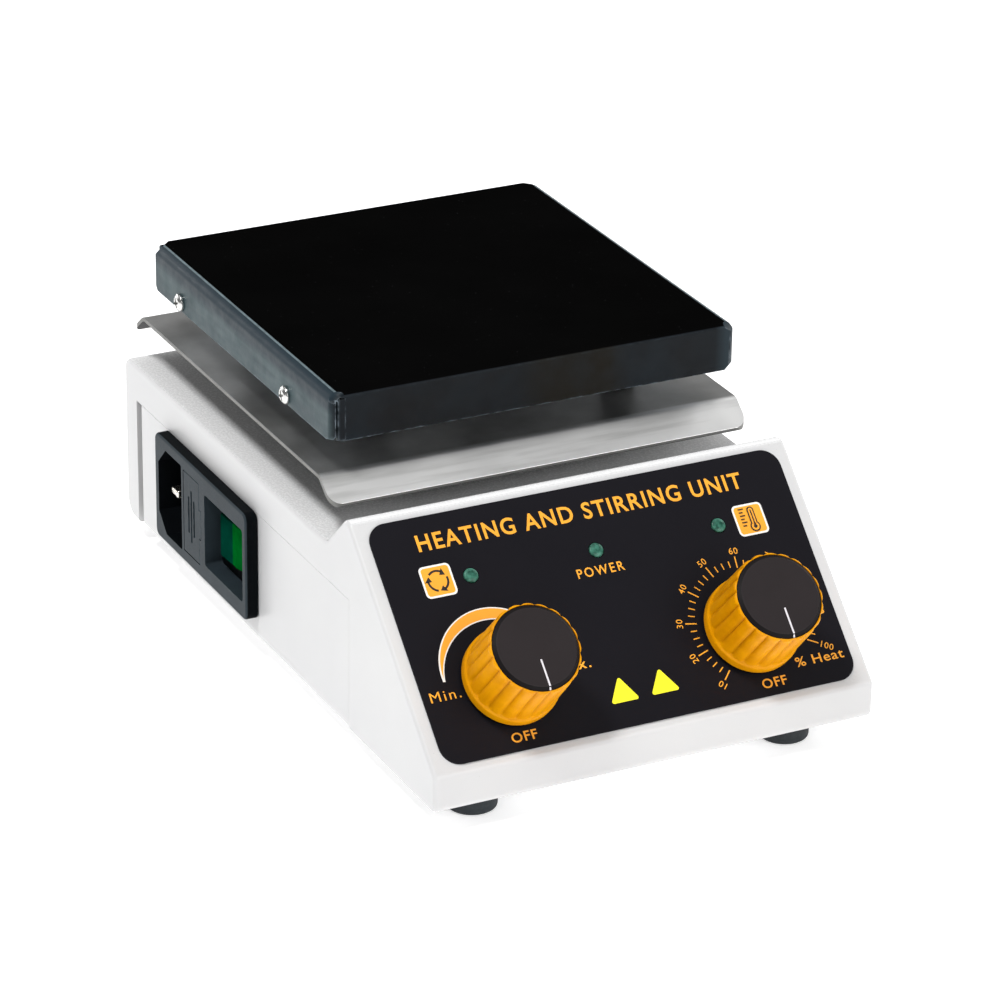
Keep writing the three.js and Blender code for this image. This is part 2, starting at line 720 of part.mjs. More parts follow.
// A pan-head cross-recessed screw that points inwards from the left (-1) or the right (1) side.
function plateScrew(side, y) {
  const seat = PLATE / 2 + GAP;
  const profile = [
    [0, seat - 6],
    [SIDE_SCREW_R, seat - 6],
    [SIDE_SCREW_R, seat],
    [2.5, seat],
    [2.5, seat + 0.6],
    [1.7, seat + 1.4],
    [0, seat + 1.7],
  ];
  const slots = [
    box([-1.3, 1.3], [-0.3, 0.3], [seat + 0.9, seat + 3]),
    box([-0.3, 0.3], [-1.3, 1.3], [seat + 0.9, seat + 3]),
  ];
  const upright = cut(turned(profile, 0, 0, 12), ...slots);
  const turn = new THREE.Matrix4().makeRotationY((side * Math.PI) / 2);
  turn.setPosition(0, y, SIDE_SCREW_Z);
  return upright.transform(turn.elements);
}

// ---- Stirring motor ----

const MOTOR_R = 18;
const MOTOR_Z = [12, BRACKET_Z[0] - GAP];
const NECK_R = 5;
const ROTOR_SHAFT_R = 2.5;
const HOLDER_Z = 53.5;
const MAGNET_R = 6;
const MAGNET_X = 20;

function motorBracket() {
  const arm = 6;
  const shape = rectangle(
    [-PILLAR_X - arm, PILLAR_X + arm],
    [PLATE_Y - PILLAR_Y - arm, PLATE_Y + PILLAR_Y + arm],
    3,
  );
  const holes = [rod(NECK_R + GAP, [40, 60], 0, PLATE_Y, 16)];
  corners((sx, sy) => {
    holes.push(pillarHole(sx, sy, [40, 60]));
  });
  // Four openings leave a frame with a cross, so the bracket is light and lets air past the motor.
  const windows = [];
  corners((sx, sy) => {
    const cx = (sx * (PILLAR_X + 4)) / 2;
    const cy = PLATE_Y + (sy * (PILLAR_Y + 4)) / 2;
    windows.push(standing(rectangle([cx - 7, cx + 7], [cy - 8, cy + 8], 2), [40, 60], 2));
  });
  return cut(standing(shape, BRACKET_Z), ...holes, ...windows);
}

function motorBody() {
  const [low, high] = MOTOR_Z;
  const profile = [
    [0, low],
    [MOTOR_R - 1, low],
    [MOTOR_R, low + 1],
    [MOTOR_R, high - 1],
    [MOTOR_R - 1, high],
    [NECK_R, high],
    [NECK_R, BRACKET_Z[1] - 0.2],
    [0, BRACKET_Z[1] - 0.2],
  ];
  const bore = rod(ROTOR_SHAFT_R + 0.35, [low + 6, 60], 0, PLATE_Y, 16);
  return cut(turned(profile, 0, PLATE_Y, 20), bore);
}

function motorShaft() {
  return rod(ROTOR_SHAFT_R, [MOTOR_Z[0] + 6 + GAP, HOLDER_Z + 7], 0, PLATE_Y, 12);
}

function magnetHolder() {
  const length = MAGNET_X + MAGNET_R + 3;
  const width = MAGNET_R + 2.5;
  const [y0, y1] = [PLATE_Y - width, PLATE_Y + width];
  const bar = standing(rectangle([-length, length], [y0, y1], width * 0.7), [HOLDER_Z, HOLDER_Z + 5]);
  const hub = rod(5.5, [HOLDER_Z, HOLDER_Z + 7.5], 0, PLATE_Y, 16);
  const pockets = [-1, 1].map((side) =>
    rod(MAGNET_R + GAP, [HOLDER_Z + 1.5, HOLDER_Z + 9], side * MAGNET_X, PLATE_Y, 16),
  );
  const bore = rod(ROTOR_SHAFT_R + GAP, [HOLDER_Z - 1, HOLDER_Z + 9], 0, PLATE_Y, 12);
  return cut(join(bar, hub), ...pockets, bore);
}

function magnet(side) {
  return rod(MAGNET_R, [HOLDER_Z + 1.5 + GAP, HOLDER_Z + 8.5], side * MAGNET_X, PLATE_Y, 16);
}

// ---- Control board on its own legs ----

function controlBoard() {
  const [x0, x1] = [-38, 38];
  const [y0, y1] = [52, 92];
  const z = TRAY_TOP + GAP + 5;
  const legs = [];
  [x0 + 4, x1 - 4].forEach((x) => {
    [y0 + 4, y1 - 4].forEach((y) => legs.push(rod(2.5, [TRAY_TOP + GAP, z + 0.5], x, y, 8)));
  });
  const heatsink = join(
    box([-30, -8], [70, 72], [z + 1, z + 19]),
    box([-30, -28], [70, 80], [z + 1, z + 19]),
    box([-10, -8], [70, 80], [z + 1, z + 19]),
  );
  const capacitors = [8, 20].map((x) => rod(4.5, [z + 1, z + 13], x, 78, 12));
  const relay = box([-6, 10], [56, 68], [z + 1, z + 12]);
  const terminals = box([16, 34], [55, 63], [z + 1, z + 9]);
  return join(box([x0, x1], [y0, y1], [z, z + 1.6]), ...legs, heatsink, ...capacitors, relay, terminals);
}

// ---- Assembly ----

node("housing", housing(), powderCoat);
node("base_tray", baseTray(), powderCoat);
feetPlaces().forEach(([x, y], i) => node(`foot_${i + 1}`, foot(x, y), rubber));
BOSS_Y.forEach((y, row) => {
  [-1, 1].forEach((side, column) => {
    node(`base_screw_${2 * row + column + 1}`, baseScrew(side * BOSS_X, y), steel);
  });
});

node("front_label", frontLabel(), labelFilm, panel);
["led_stir", "led_power", "led_heat"].forEach((name, i) => {
  node(name, led(LED_X[i]), greenLens, panel);
});

const SPEED_DEPTH = 11;
const HEAT_DEPTH = 13;
const controls = [
  ["speed", KNOB_X[0], speedControlShape(), SPEED_DEPTH],
  ["heat", KNOB_X[1], rectangle([-12.5, 12.5], [-12.5, 12.5], 1.5), HEAT_DEPTH],
];
controls.forEach(([name, x, shape, depth]) => {
  const axis = new THREE.Group();
  axis.position.set(x, KNOB_V, 0);
  panel.add(axis);
  node(`${name}_knob`, knob(), yellowPlastic, axis);
  node(`${name}_knob_cap`, knobCap(), darkPlastic, axis);
  node(`${name}_control_shaft`, controlShaft(depth), aluminium, axis);
  node(`${name}_control`, controlBody(shape, depth), steel, axis);
  node(`${name}_control_nut`, controlNut(), brass, axis);
});

node("inlet_housing", inletHousing(), blackPlastic);
pinPlaces().forEach(([name, y, z]) => node(`inlet_pin_${name}`, inletPin(y, z), steel));
node("fuse_drawer", fuseDrawer(), blackPlastic);
node("fuse", fuse(), glassTube);
node("rocker_switch", rocker(), greenPlastic);

node("heat_shield", shield(), galvanised);
corners((sx, sy, number) => {
  const x = sx * PILLAR_X;
  const y = PLATE_Y + sy * PILLAR_Y;
  node(`pillar_screw_${number}`, pillarScrew(x, y), steel);
  node(`lower_spacer_${number}`, lowerSpacer(x, y), steel);
  node(`upper_spacer_${number}`, upperSpacer(x, y), ceramic);
});

node("plate_cover", plateCover(), slatePaint);
node("heating_plate", heatingPlate(), aluminium);
node("heater_element", heaterElement(), ceramic);
node("insulation_pad", insulationPad(), fibre);
node("plate_tray", plateTray(), galvanised);
[-1, 1].forEach((side, row) => {
  SIDE_SCREW_Y.forEach((y, column) => {
    node(`plate_screw_${2 * row + column + 1}`, plateScrew(side, y), steel);
  });
});

node("motor_bracket", motorBracket(), galvanised);
node("motor_body", motorBody(), steel);
node("motor_shaft", motorShaft(), steel);
node("magnet_holder", magnetHolder(), darkPlastic);
node("magnet_1", magnet(-1), magnetAlloy);
node("magnet_2", magnet(1), magnetAlloy);
node("control_board", controlBoard(), boardLaminate);

// The box of the whole object is centred over the origin, with the feet on Z = 0.
const bounds = new THREE.Box3().setFromObject(stirrer, true);
const centre = bounds.getCenter(new THREE.Vector3());
stirrer.position.set(-centre.x, -centre.y, 0);

export default stirrer;
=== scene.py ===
"""Hot plate magnetic stirrer: the looks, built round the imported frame.

Shapes are made in millimetres in one of two frames and then carried to the row's metres:
HOUSE has X across, Y from the front lip to the back and Z up from the bench, and
PANEL has X across, Y up the sloped panel from the lip's edge and Z out of the panel.
"""

import json
import math

import bmesh
import bpy
from mathutils import Matrix, Vector


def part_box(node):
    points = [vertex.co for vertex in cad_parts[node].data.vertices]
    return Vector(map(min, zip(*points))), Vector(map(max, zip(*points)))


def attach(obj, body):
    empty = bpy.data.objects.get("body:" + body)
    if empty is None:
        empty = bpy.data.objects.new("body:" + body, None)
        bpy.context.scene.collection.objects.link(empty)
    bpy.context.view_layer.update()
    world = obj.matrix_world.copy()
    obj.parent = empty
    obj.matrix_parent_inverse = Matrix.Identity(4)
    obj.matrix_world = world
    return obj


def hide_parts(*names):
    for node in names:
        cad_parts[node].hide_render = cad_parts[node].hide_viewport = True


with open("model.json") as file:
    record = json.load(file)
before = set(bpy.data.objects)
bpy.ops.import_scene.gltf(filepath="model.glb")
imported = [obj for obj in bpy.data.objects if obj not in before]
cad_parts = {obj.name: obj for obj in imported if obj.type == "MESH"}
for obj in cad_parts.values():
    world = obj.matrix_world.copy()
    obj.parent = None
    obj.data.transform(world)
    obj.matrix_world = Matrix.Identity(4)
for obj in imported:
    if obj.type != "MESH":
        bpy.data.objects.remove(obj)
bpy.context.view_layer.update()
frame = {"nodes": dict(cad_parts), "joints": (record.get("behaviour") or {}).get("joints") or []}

MM = 0.001

low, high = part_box("housing")
HOUSE = Matrix.Translation(((low.x + high.x) / 2, low.y, 0)) @ Matrix.Scale(MM, 4)

# ---- Driving dimensions, in millimetres ----

SIDE_X = 60  # half the housing's width
DEPTH = 190
WALL = 2.5
BASE_Z = 6  # the housing's lower edge
BASE_SCREW_Z = 6.25  # where the heads of the screws in the base sit
LIP_Z = 15.6
RIDGE = (49.6, 62.9)  # Y and Z of the sloped panel's top edge
DECK = (61.5, 51.4)  # Y and Z of the foot of the ramp behind it
SIDE_ROUND = 1.1  # rounding between a side wall and the top
WINDOW_Y = (47.94, 181.9)  # openings in the side walls that the tray's sides fill
WINDOW_TOP = 41.62

PLATE_HALF = 55.9
PLATE_Y = 122.8
PLATE_TOP = 87
PLATE_FOOT = 74.5
PLATE_BENDS = (2.8, 1.2)  # rounding of its top edges, at the sides and at the front and back
PLATE_CORNER = 2.4  # rounding of its upright corners
COVER_SHEET = 1.2
PLATE_SCREW_Y = (93.5, 160)
PLATE_SCREW_Z = PLATE_FOOT + 2.5
SEAM = 1.6  # from its side faces to the open seams in its front and back
PILLAR = (35, 33)  # X and Y of the pillar screws, from the plate's middle
PILLAR_HOLE = 2.4
SHAFT_HOLE = 6

SHIELD_HALF = 58
SHIELD_FOLDS = (69.4, 181.2)
SHIELD_TOP = 65.4
FLANGE = (6.8, 5.3)  # run and drop of its folded edges
SHIELD_SHEET = 1

KNOB_X = (-33.6, 32.2)
KNOB_V = 20.2
KNOB_H = 21.3
FLUTES = 20
CAP_R = 10.9
LED_X = (-34, 0, 34)
LED_V = 47.7
LED_R = 1.95
CONTROL_HOLE = 4  # radius of the hole in the panel behind each knob
LABEL_SIZE = (113, 62.8)
LABEL_V = 33.6
LABEL_TOP = 0.45  # face of the overlay above the panel
INK = 0.025  # thickness of one printed layer

FACE_X = -63.6  # outer face of the inlet module
INLET_Y = (102.1, 161.2)
INLET_Z = (12.2, 41.9)
RECESS_Y = (143.4, 158.8)
RECESS_Z = (15, 39)
DRAWER_Y = (131.8, 142.2)
DRAWER_Z = (15.5, 38.5)
ROCKER_Y = (104.2, 128.4)
ROCKER_Z = (16.9, 37)
ROCKER_TILT = math.radians(10)
ROCKER_EDGE = 117.2  # Y where the rocker's two halves meet
MODULE_X = (-60.5, -40)  # its body behind the flange
MODULE_Z = (13.8, 40.2)
MID_Z = 27

turn = next(j for j in frame["joints"] if j["name"] == "speed_turn")
OUT = -Vector(turn["axis"])
UP_SLOPE = OUT.cross(Vector((1, 0, 0)))
ON_AXIS = Vector((HOUSE.translation.x, turn["pos_m"][1], turn["pos_m"][2]))
PANEL = Matrix((
    (1, UP_SLOPE.x, OUT.x, 0),
    (0, UP_SLOPE.y, OUT.y, 0),
    (0, UP_SLOPE.z, OUT.z, 0),
    (0, 0, 0, 1),
))
PANEL = Matrix.Translation(ON_AXIS - UP_SLOPE * KNOB_V * MM) @ PANEL @ Matrix.Scale(MM, 4)

# ---- Mesh helpers ----

# An outline in Y and Z, drawn along X.
ACROSS = Matrix(((0, 0, 1, 0), (1, 0, 0, 0), (0, 1, 0, 0), (0, 0, 0, 1)))
# An outline in X and Z, drawn along -Y.
ALONG = Matrix.Rotation(math.pi / 2, 4, "X")


def in_scene(name, data):
    thing = bpy.data.objects.new(name, data)
    bpy.context.scene.collection.objects.link(thing)
    return thing


def spot(x=0, y=0, z=0):
    return Matrix.Translation((x, y, z))


def turned(angle, axis="Z"):
    return Matrix.Rotation(angle, 4, axis)


def looking(direction):
    """A turn that takes Z to this direction."""
    return Vector(direction).to_track_quat("Z", "Y").to_matrix().to_4x4()


def house_box(node):
    """The lowest and highest corners and the middle of a CAD piece, in HOUSE."""
    lo, hi = (HOUSE.inverted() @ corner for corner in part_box(node))
    return lo, hi, (lo + hi) / 2


def outline(corners, inset=0.0, steps=6):
    """Points round a counter-clockwise outline of (a, b, radius) corners, moved inwards by inset."""
    points = []
    for i, (a, b, radius) in enumerate(corners):
        here = Vector((a, b))
        into = (here - Vector(corners[i - 1][:2])).normalized()
        out = (Vector(corners[(i + 1) % len(corners)][:2]) - here).normalized()
        side_in = Vector((-into.y, into.x))
        side_out = Vector((-out.y, out.x))
        here += (side_in + side_out) * inset / (1 + side_in.dot(side_out))
        if radius == 0:
            points.append(here)
            continue
        bend = math.atan2(into.cross(out), into.dot(out))
        sign = math.copysign(1, bend)
        r = max(radius - sign * inset, 0.02)
        centre = here - into * r * math.tan(abs(bend) / 2) + side_in * sign * r
        for k in range(steps + 1):
            arm = side_in * -sign * r
            arm.rotate(Matrix.Rotation(bend * k / steps, 2))
            points.append(centre + arm)
    return points


def rectangle(a, b, radius=0.0):
    return [(a[0], b[0], radius), (a[1], b[0], radius), (a[1], b[1], radius), (a[0], b[1], radius)]


def loft(rings):
    """A skin through rings of points, counter-clockwise and rising, with flat ends."""
    bm = bmesh.new()
    loops = [[bm.verts.new(p) for p in ring] for ring in rings]
    count = len(loops[0])
    for below, above in zip(loops, loops[1:]):
        for i in range(count):
            j = (i + 1) % count
            bm.faces.new((below[i], below[j], above[j], above[i]))
    bm.faces.new(loops[0][::-1])
    bm.faces.new(loops[-1])
    return bm


def slab(corners, heights, top=0.0, bottom=0.0, steps=6, round_steps=4):
    """An outline stood up between two heights, with rounded top and bottom edges."""
    z0, z1 = heights
    levels = []
    for k in range(round_steps + 1 if bottom else 1):
        a = math.pi / 2 * k / round_steps
        levels.append((bottom * (1 - math.sin(a)), z0 + bottom * (1 - math.cos(a))))
    for k in range(round_steps + 1 if top else 1):
        a = math.pi / 2 * k / round_steps
        levels.append((top * (1 - math.cos(a)), z1 - top * (1 - math.sin(a))))
    return loft([[(p.x, p.y, z) for p in outline(corners, inset, steps)] for inset, z in levels])


def block(x, y, z):
    return slab(rectangle(x, y), z)


def lathe(profile, steps=48, wave=None):
    """A solid of revolution about Z. The profile is (radius, height) points from the axis to the axis.
    wave(angle, index) gives what to take off the radius there."""
    bm = bmesh.new()
    rings = []
    for i, (r, z) in enumerate(profile):
        if r < 1e-6:
            rings.append([bm.verts.new((0, 0, z))])
            continue
        ring = []
        for k in range(steps):
            a = 2 * math.pi * k / steps
            radius = r - (wave(a, i) if wave else 0)
            ring.append(bm.verts.new((radius * math.cos(a), radius * math.sin(a), z)))
        rings.append(ring)
    for below, above in zip(rings, rings[1:]):
        for k in range(steps):
            n = (k + 1) % steps
            lower = [below[k % len(below)], below[n % len(below)]]
            upper = [above[n % len(above)], above[k % len(above)]]
            face = list(dict.fromkeys(lower + upper))
            if len(face) > 2:
                bm.faces.new(face)
    return bm


def pin(radius, heights, steps=24):
    """An upright cylinder, mostly to cut a hole with."""
    return lathe([(0, heights[0]), (radius, heights[0]), (radius, heights[1]), (0, heights[1])], steps)


def soft(corners, steps=4):
    """A lathe profile, from axis to axis, whose (radius, height, rounding) corners are rounded off."""
    return [tuple(p) for p in outline(corners, 0, steps)]


def moved(bm, matrix):
    bm.transform(matrix)
    return bm


def mesh_of(bm, name="scratch"):
    """A Blender mesh of a bmesh, which is used up."""
    mesh = bpy.data.meshes.new(name)
    bm.to_mesh(mesh)
    bm.free()
    return mesh


def joined(*parts):
    whole = bmesh.new()
    for part in parts:
        mesh = mesh_of(part)
        whole.from_mesh(mesh)
        bpy.data.meshes.remove(mesh)
    return whole


def scratch(bm):
    bmesh.ops.recalc_face_normals(bm, faces=bm.faces)
    return in_scene("scratch", mesh_of(bm))


def evaluated(thing):
    """A bmesh of an object as its modifiers leave it."""
    bpy.context.view_layer.update()
    seen = thing.evaluated_get(bpy.context.evaluated_depsgraph_get())
    result = bmesh.new()
    result.from_mesh(seen.to_mesh())
    seen.to_mesh_clear()
    return result


def carved(bm, tools, operation="DIFFERENCE"):
    """The first solid with the tools cut out of it, or with what it shares with them."""
    base = scratch(bm)
    things = [scratch(tool) for tool in tools]
    for thing in things:
        cut = base.modifiers.new("cut", "BOOLEAN")
        cut.operation = operation
        cut.solver = "EXACT"
        cut.object = thing
    result = evaluated(base)
    for thing in [base, *things]:
        mesh = thing.data
        bpy.data.objects.remove(thing)
        bpy.data.meshes.remove(mesh)
    bmesh.ops.dissolve_limit(result, angle_limit=math.radians(0.2), verts=result.verts, edges=result.edges)
    return result


def eased(bm, width, segments=2, sharper_than=40, where=None):
    """Rounds the sharp edges of a solid, or those of them that where(edge) picks."""
    bmesh.ops.recalc_face_normals(bm, faces=bm.faces)
    limit = math.radians(sharper_than)
    sharp = [e for e in bm.edges if len(e.link_faces) == 2 and e.calc_face_angle() > limit]
    if where:
        sharp = [e for e in sharp if where(e)]
    bmesh.ops.bevel(
        bm, geom=sharp, offset=width, offset_type="OFFSET", segments=segments, profile=0.5,
        affect="EDGES", clamp_overlap=True,
    )
    return bm


def piece(name, bm, finishes, body="frame", place=HOUSE, replaces=(), smooth=32, pick=None):
    """Makes a Blender object of a bmesh drawn in millimetres. pick(face) gives a face's finish number."""
    bmesh.ops.recalc_face_normals(bm, faces=bm.faces)
    for face in bm.faces:
        face.smooth = True
        if pick:
            face.material_index = pick(face)
    bm.transform(place)
    mesh = mesh_of(bm, name)
    mesh.set_sharp_from_angle(angle=math.radians(smooth))
    thing = in_scene(name, mesh)
    for finish in finishes if isinstance(finishes, list) else [finishes]:
        mesh.materials.append(finish)
    weighted = thing.modifiers.new("flat faces stay flat", "WEIGHTED_NORMAL")
    weighted.keep_sharp = True
    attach(thing, body)
    if replaces:
        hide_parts(*replaces)
    return thing


# ---- Materials ----


def srgb(r, g, b):
    """Linear colour of an 8-bit display colour."""
    shares = (c / 255 for c in (r, g, b))
    return tuple(((c + 0.055) / 1.055) ** 2.4 if c > 0.0404 else c / 12.92 for c in shares) + (1,)


class Nodes:
    """Short ways to add the nodes of one material."""

    def __init__(self, name, roughness, metallic=0.0, specular=0.5, **sockets):
        self.material = bpy.data.materials.new(name)
        self.material.use_nodes = True
        self.tree = self.material.node_tree
        self.shader = self.tree.nodes["Principled BSDF"]
        sockets.update(Roughness=roughness, Metallic=metallic, Specular_IOR_Level=specular)
        for key, value in sockets.items():
            self.shader.inputs[key.replace("_", " ")].default_value = value
        self.place = self.node("ShaderNodeTexCoord").outputs["Object"]
        self.normal = None

    def node(self, kind, values=(), **settings):
        """A node with these (input, value) pairs and these settings."""
        made = self.tree.nodes.new(kind)
        for key, value in settings.items():
            setattr(made, key, value)
        for key, value in values:
            made.inputs[key].default_value = value
        return made

    def link(self, a, b):
        self.tree.links.new(a, b)

    def noise(self, scale, detail, stretch=None):
        """Noise with this many features to the metre."""
        texture = self.node("ShaderNodeTexNoise", [("Scale", scale), ("Detail", detail)])
        place = self.place
        if stretch:
            mapping = self.node("ShaderNodeMapping", [("Scale", stretch)])
            self.link(place, mapping.inputs["Vector"])
            place = mapping.outputs["Vector"]
        self.link(place, texture.inputs["Vector"])
        return texture.outputs["Fac"]

    def clouds(self, scale, detail, low=0.3, high=0.7):
        """Noise stretched to run from 0 to 1 between two of its levels."""
        return self.spread(self.noise(scale, detail), low, high)

    def spread(self, value, low, high, to_low=0.0, to_high=1.0):
        ends = [("From Min", low), ("From Max", high), ("To Min", to_low), ("To Max", to_high)]
        ramp = self.node("ShaderNodeMapRange", ends)
        self.link(value, ramp.inputs["Value"])
        return ramp.outputs["Result"]

    def times(self, a, b):
        product = self.node("ShaderNodeMath", operation="MULTIPLY")
        self.link(a, product.inputs[0])
        self.link(b, product.inputs[1])
        return product.outputs[0]

    def mix(self, share, a, b):
        mixer = self.node("ShaderNodeMix", data_type="RGBA")
        self.link(share, mixer.inputs[0])
        for value, socket in ((a, mixer.inputs[6]), (b, mixer.inputs[7])):
            if isinstance(value, tuple):
                socket.default_value = value
            else:
                self.link(value, socket)
        return mixer.outputs[2]

    def bump(self, height, depth):
        """Adds relief of this depth, in millimetres."""
        bump = self.node("ShaderNodeBump", [("Strength", 1), ("Distance", depth * MM)])
        self.link(height, bump.inputs["Height"])
        if self.normal:
            self.link(self.normal, bump.inputs["Normal"])
        self.normal = bump.outputs["Normal"]
        self.link(self.normal, self.shader.inputs["Normal"])

    def edges(self, width):
        """A mask that is 1 on the outer edges, as far in as width, in millimetres."""
        rounded = self.node("ShaderNodeBevel", [("Radius", width * MM)], samples=4)
        flat = self.node("ShaderNodeNewGeometry")
        dot = self.node("ShaderNodeVectorMath", operation="DOT_PRODUCT")
        self.link(rounded.outputs["Normal"], dot.inputs[0])
        self.link(flat.outputs["Normal"], dot.inputs[1])
        return self.spread(dot.outputs["Value"], 0.995, 0.86)  # cosines of 6 and 31 degrees

    def axis(self, index):
        parts = self.node("ShaderNodeSeparateXYZ")
        self.link(self.place, parts.inputs["Vector"])
        return parts.outputs[index]

    def colour(self, value):
        if isinstance(value, tuple):
            self.shader.inputs["Base Color"].default_value = value
        else:
            self.link(value, self.shader.inputs["Base Color"])

    def roughness(self, value):
        self.link(value, self.shader.inputs["Roughness"])


def shade(colour, factor):
    return tuple(min(c * factor, 1) for c in colour[:3]) + (1,)


def plain(name, colour, roughness, metallic=0.0, tone=0.08, patch=90, grain=0.02, fineness=2600,
          worn=None, worn_width=0.35, spread=0.06, **sockets):
    """A finish with patchy tone, fine grain in relief and roughness, and edges worn to the colour worn."""
    m = Nodes(name, roughness, metallic, **sockets)
    colour = srgb(*colour)
    clouds = m.clouds(patch, 4)
    tint = m.mix(clouds, shade(colour, 1 - tone), shade(colour, 1 + tone))
    fine = m.noise(fineness, 4)
    m.roughness(m.spread(fine, 0.25, 0.75, max(roughness - spread, 0.02), roughness + spread))
    m.bump(fine, grain)
    if worn:
        patches = m.clouds(700, 4, 0.42, 0.62)
        tint = m.mix(m.times(m.edges(worn_width), patches), tint, srgb(*worn))
    m.colour(tint)
    return m.material


def powder_coat():
    """White powder paint with a few specks and a coarser peel where it faces up, where painted light also
    makes it brighter.
    """
    m = Nodes("powder_coat", 0.3)
    clouds = m.clouds(25, 3)
    tint = m.mix(clouds, srgb(207, 207, 208), srgb(213, 213, 213))
    specks = m.clouds(1500, 2, 0.74, 0.8)
    tint = m.mix(specks, tint, srgb(198, 198, 198))
    peel = m.noise(1500, 2)
    facing = m.node("ShaderNodeSeparateXYZ")
    m.link(m.node("ShaderNodeNewGeometry").outputs["True Normal"], facing.inputs["Vector"])
    # painted light: surfaces that face up are mixed to a lighter white
    m.colour(m.mix(m.spread(facing.outputs["Z"], 0.85, 0.98), tint, srgb(240, 240, 240)))
    flats = m.spread(facing.outputs["Z"], 0.4, 0.95, 0.1, 1)
    grain = m.times(peel, flats)
    m.roughness(m.spread(grain, 0.3, 0.7, 0.32, 0.2))
    m.bump(grain, 0.14)
    m.bump(m.noise(3400, 2), 0.006)
    return m.material


def brushed_sheet():
    """Satin stainless sheet with a faint grain across it, handling marks, bright sheared edges and a
    painted highlight on its folded flange.
    """
    m = Nodes("brushed_sheet", 0.42, 1)
    clouds = m.clouds(45, 5)
    tint = m.mix(clouds, srgb(176, 176, 174), srgb(226, 226, 225))
    fold = HOUSE.translation.y + (SHIELD_FOLDS[0] + 0.5) * MM
    on_flange = m.spread(m.axis(1), fold + 1 * MM, fold)
    # painted highlight: the folded flange, which faces front and up, is mixed to a brighter steel
    tint = m.mix(on_flange, tint, srgb(246, 246, 245))
    smears = m.times(m.spread(m.noise(1, 5, (30, 420, 420)), 0.48, 0.72, 0, 0.45), on_flange)
    tint = m.mix(smears, tint, srgb(176, 176, 172))
    grain = m.noise(1, 3, (160, 5200, 5200))
    m.roughness(m.spread(m.noise(60, 6), 0.35, 0.7, 0.38, 0.48))
    m.bump(grain, 0.004)
    m.colour(m.mix(m.edges(0.2), tint, srgb(212, 212, 211)))
    return m.material


def plate_paint():
    """Slate-blue enamel of the plate's flanges: painted shade darkens a band under the bend, so they are
    lighter below, and darkens the front, which has a painted highlight at its right end.
    """
    m = Nodes("plate_slate", 0.4, specular=0.14)
    clouds = m.clouds(60, 5, 0.28, 0.72)
    tint = m.mix(clouds, srgb(56, 71, 75), srgb(75, 91, 94))
    streaks = m.spread(m.noise(1, 4, (60, 60, 500)), 0.4, 0.7, 0, 0.7)
    tint = m.mix(streaks, tint, srgb(50, 64, 70))
    uneven = m.noise(45, 3)
    waver = 3 * MM  # how unevenly the dark band ends
    height = m.node("ShaderNodeMath", [(1, waver)], operation="MULTIPLY_ADD")
    m.link(uneven, height.inputs[0])
    m.link(m.axis(2), height.inputs[2])
    # painted shade: a darker band just under the top bend, which leaves the flange lighter below
    band = m.spread(height.outputs[0], (PLATE_TOP - 4.6) * MM, (PLATE_TOP - 2.2) * MM)
    tint = m.mix(band, tint, srgb(36, 49, 57))
    # painted shade: the front flange is mixed to a near-black slate
    face = HOUSE.translation.y + (PLATE_Y - PLATE_HALF) * MM
    front = m.spread(m.axis(1), face + 0.3 * MM, face + 2.2 * MM, 1, 0)
    front_shade = m.mix(clouds, srgb(6, 9, 13), srgb(15, 25, 32))
    # painted highlight: the front is lighter towards its rounded right end
    rounded_end = m.spread(m.axis(0), (PLATE_HALF - 4) * MM, (PLATE_HALF - 1) * MM)
    front_shade = m.mix(rounded_end, front_shade, srgb(34, 46, 53))
    tint = m.mix(front, tint, front_shade)
    patch = m.times(m.spread(m.axis(0), 28 * MM, 22 * MM), m.spread(m.axis(0), -4 * MM, 4 * MM))
    scorch = m.times(front, m.times(patch, m.spread(m.noise(150, 4), 0.3, 0.7, 0.5, 1)))
    tint = m.mix(scorch, tint, srgb(13, 10, 2))
    rubbed = m.times(m.edges(0.5), m.spread(m.noise(420, 5), 0.4, 0.62, 0, 0.8))
    m.colour(m.mix(rubbed, tint, srgb(132, 146, 156)))
    m.roughness(m.spread(m.noise(300, 4), 0.3, 0.7, 0.34, 0.5))
    m.bump(m.noise(900, 4), 0.03)
    m.bump(m.noise(90, 3), 0.12)
    return m.material


def plate_black():
    """Black ceramic coat of the working surface, with dust specks and faint rubbing."""
    m = Nodes("plate_black", 0.6, specular=0.0)
    clouds = m.clouds(40, 5)
    tint = m.mix(clouds, srgb(6, 6, 6), srgb(8, 8, 8))
    dust = m.clouds(1900, 1, 0.79, 0.83)
    m.colour(m.mix(dust, tint, srgb(60, 60, 62)))
    m.roughness(m.spread(m.noise(130, 5), 0.3, 0.7, 0.55, 0.7))
    m.bump(m.noise(1700, 3), 0.012)
    return m.material


def knob_yellow():
    """Moulded yellow plastic with a cloudy tone, and painted shade that darkens its grooves."""
    m = Nodes("knob_yellow", 0.34, specular=0.12)
    clouds = m.clouds(240, 5, 0.36, 0.64)
    tint = m.mix(clouds, srgb(222, 146, 0), srgb(233, 158, 1))
    # painted shade: occlusion darkens the colour in the grooves
    occlusion = m.node("ShaderNodeAmbientOcclusion", [("Distance", 1.2 * MM)], samples=6)
    deep = m.spread(occlusion.outputs["AO"], 0.6, 0.97, 0.8, 0)
    m.colour(m.mix(deep, tint, srgb(150, 82, 0)))
    fine = m.noise(2400, 3)
    m.roughness(m.spread(fine, 0.3, 0.7, 0.28, 0.42))
    m.bump(fine, 0.012)
    return m.material


def lens_green():
    """Mottled green of the small lights."""
    m = Nodes("lens_green", 0.3, specular=0.25)
    clouds = m.clouds(900, 4, 0.35, 0.65)
    m.colour(m.mix(clouds, srgb(24, 70, 57), srgb(68, 126, 108)))
    m.bump(m.noise(1500, 2), 0.02)
    return m.material


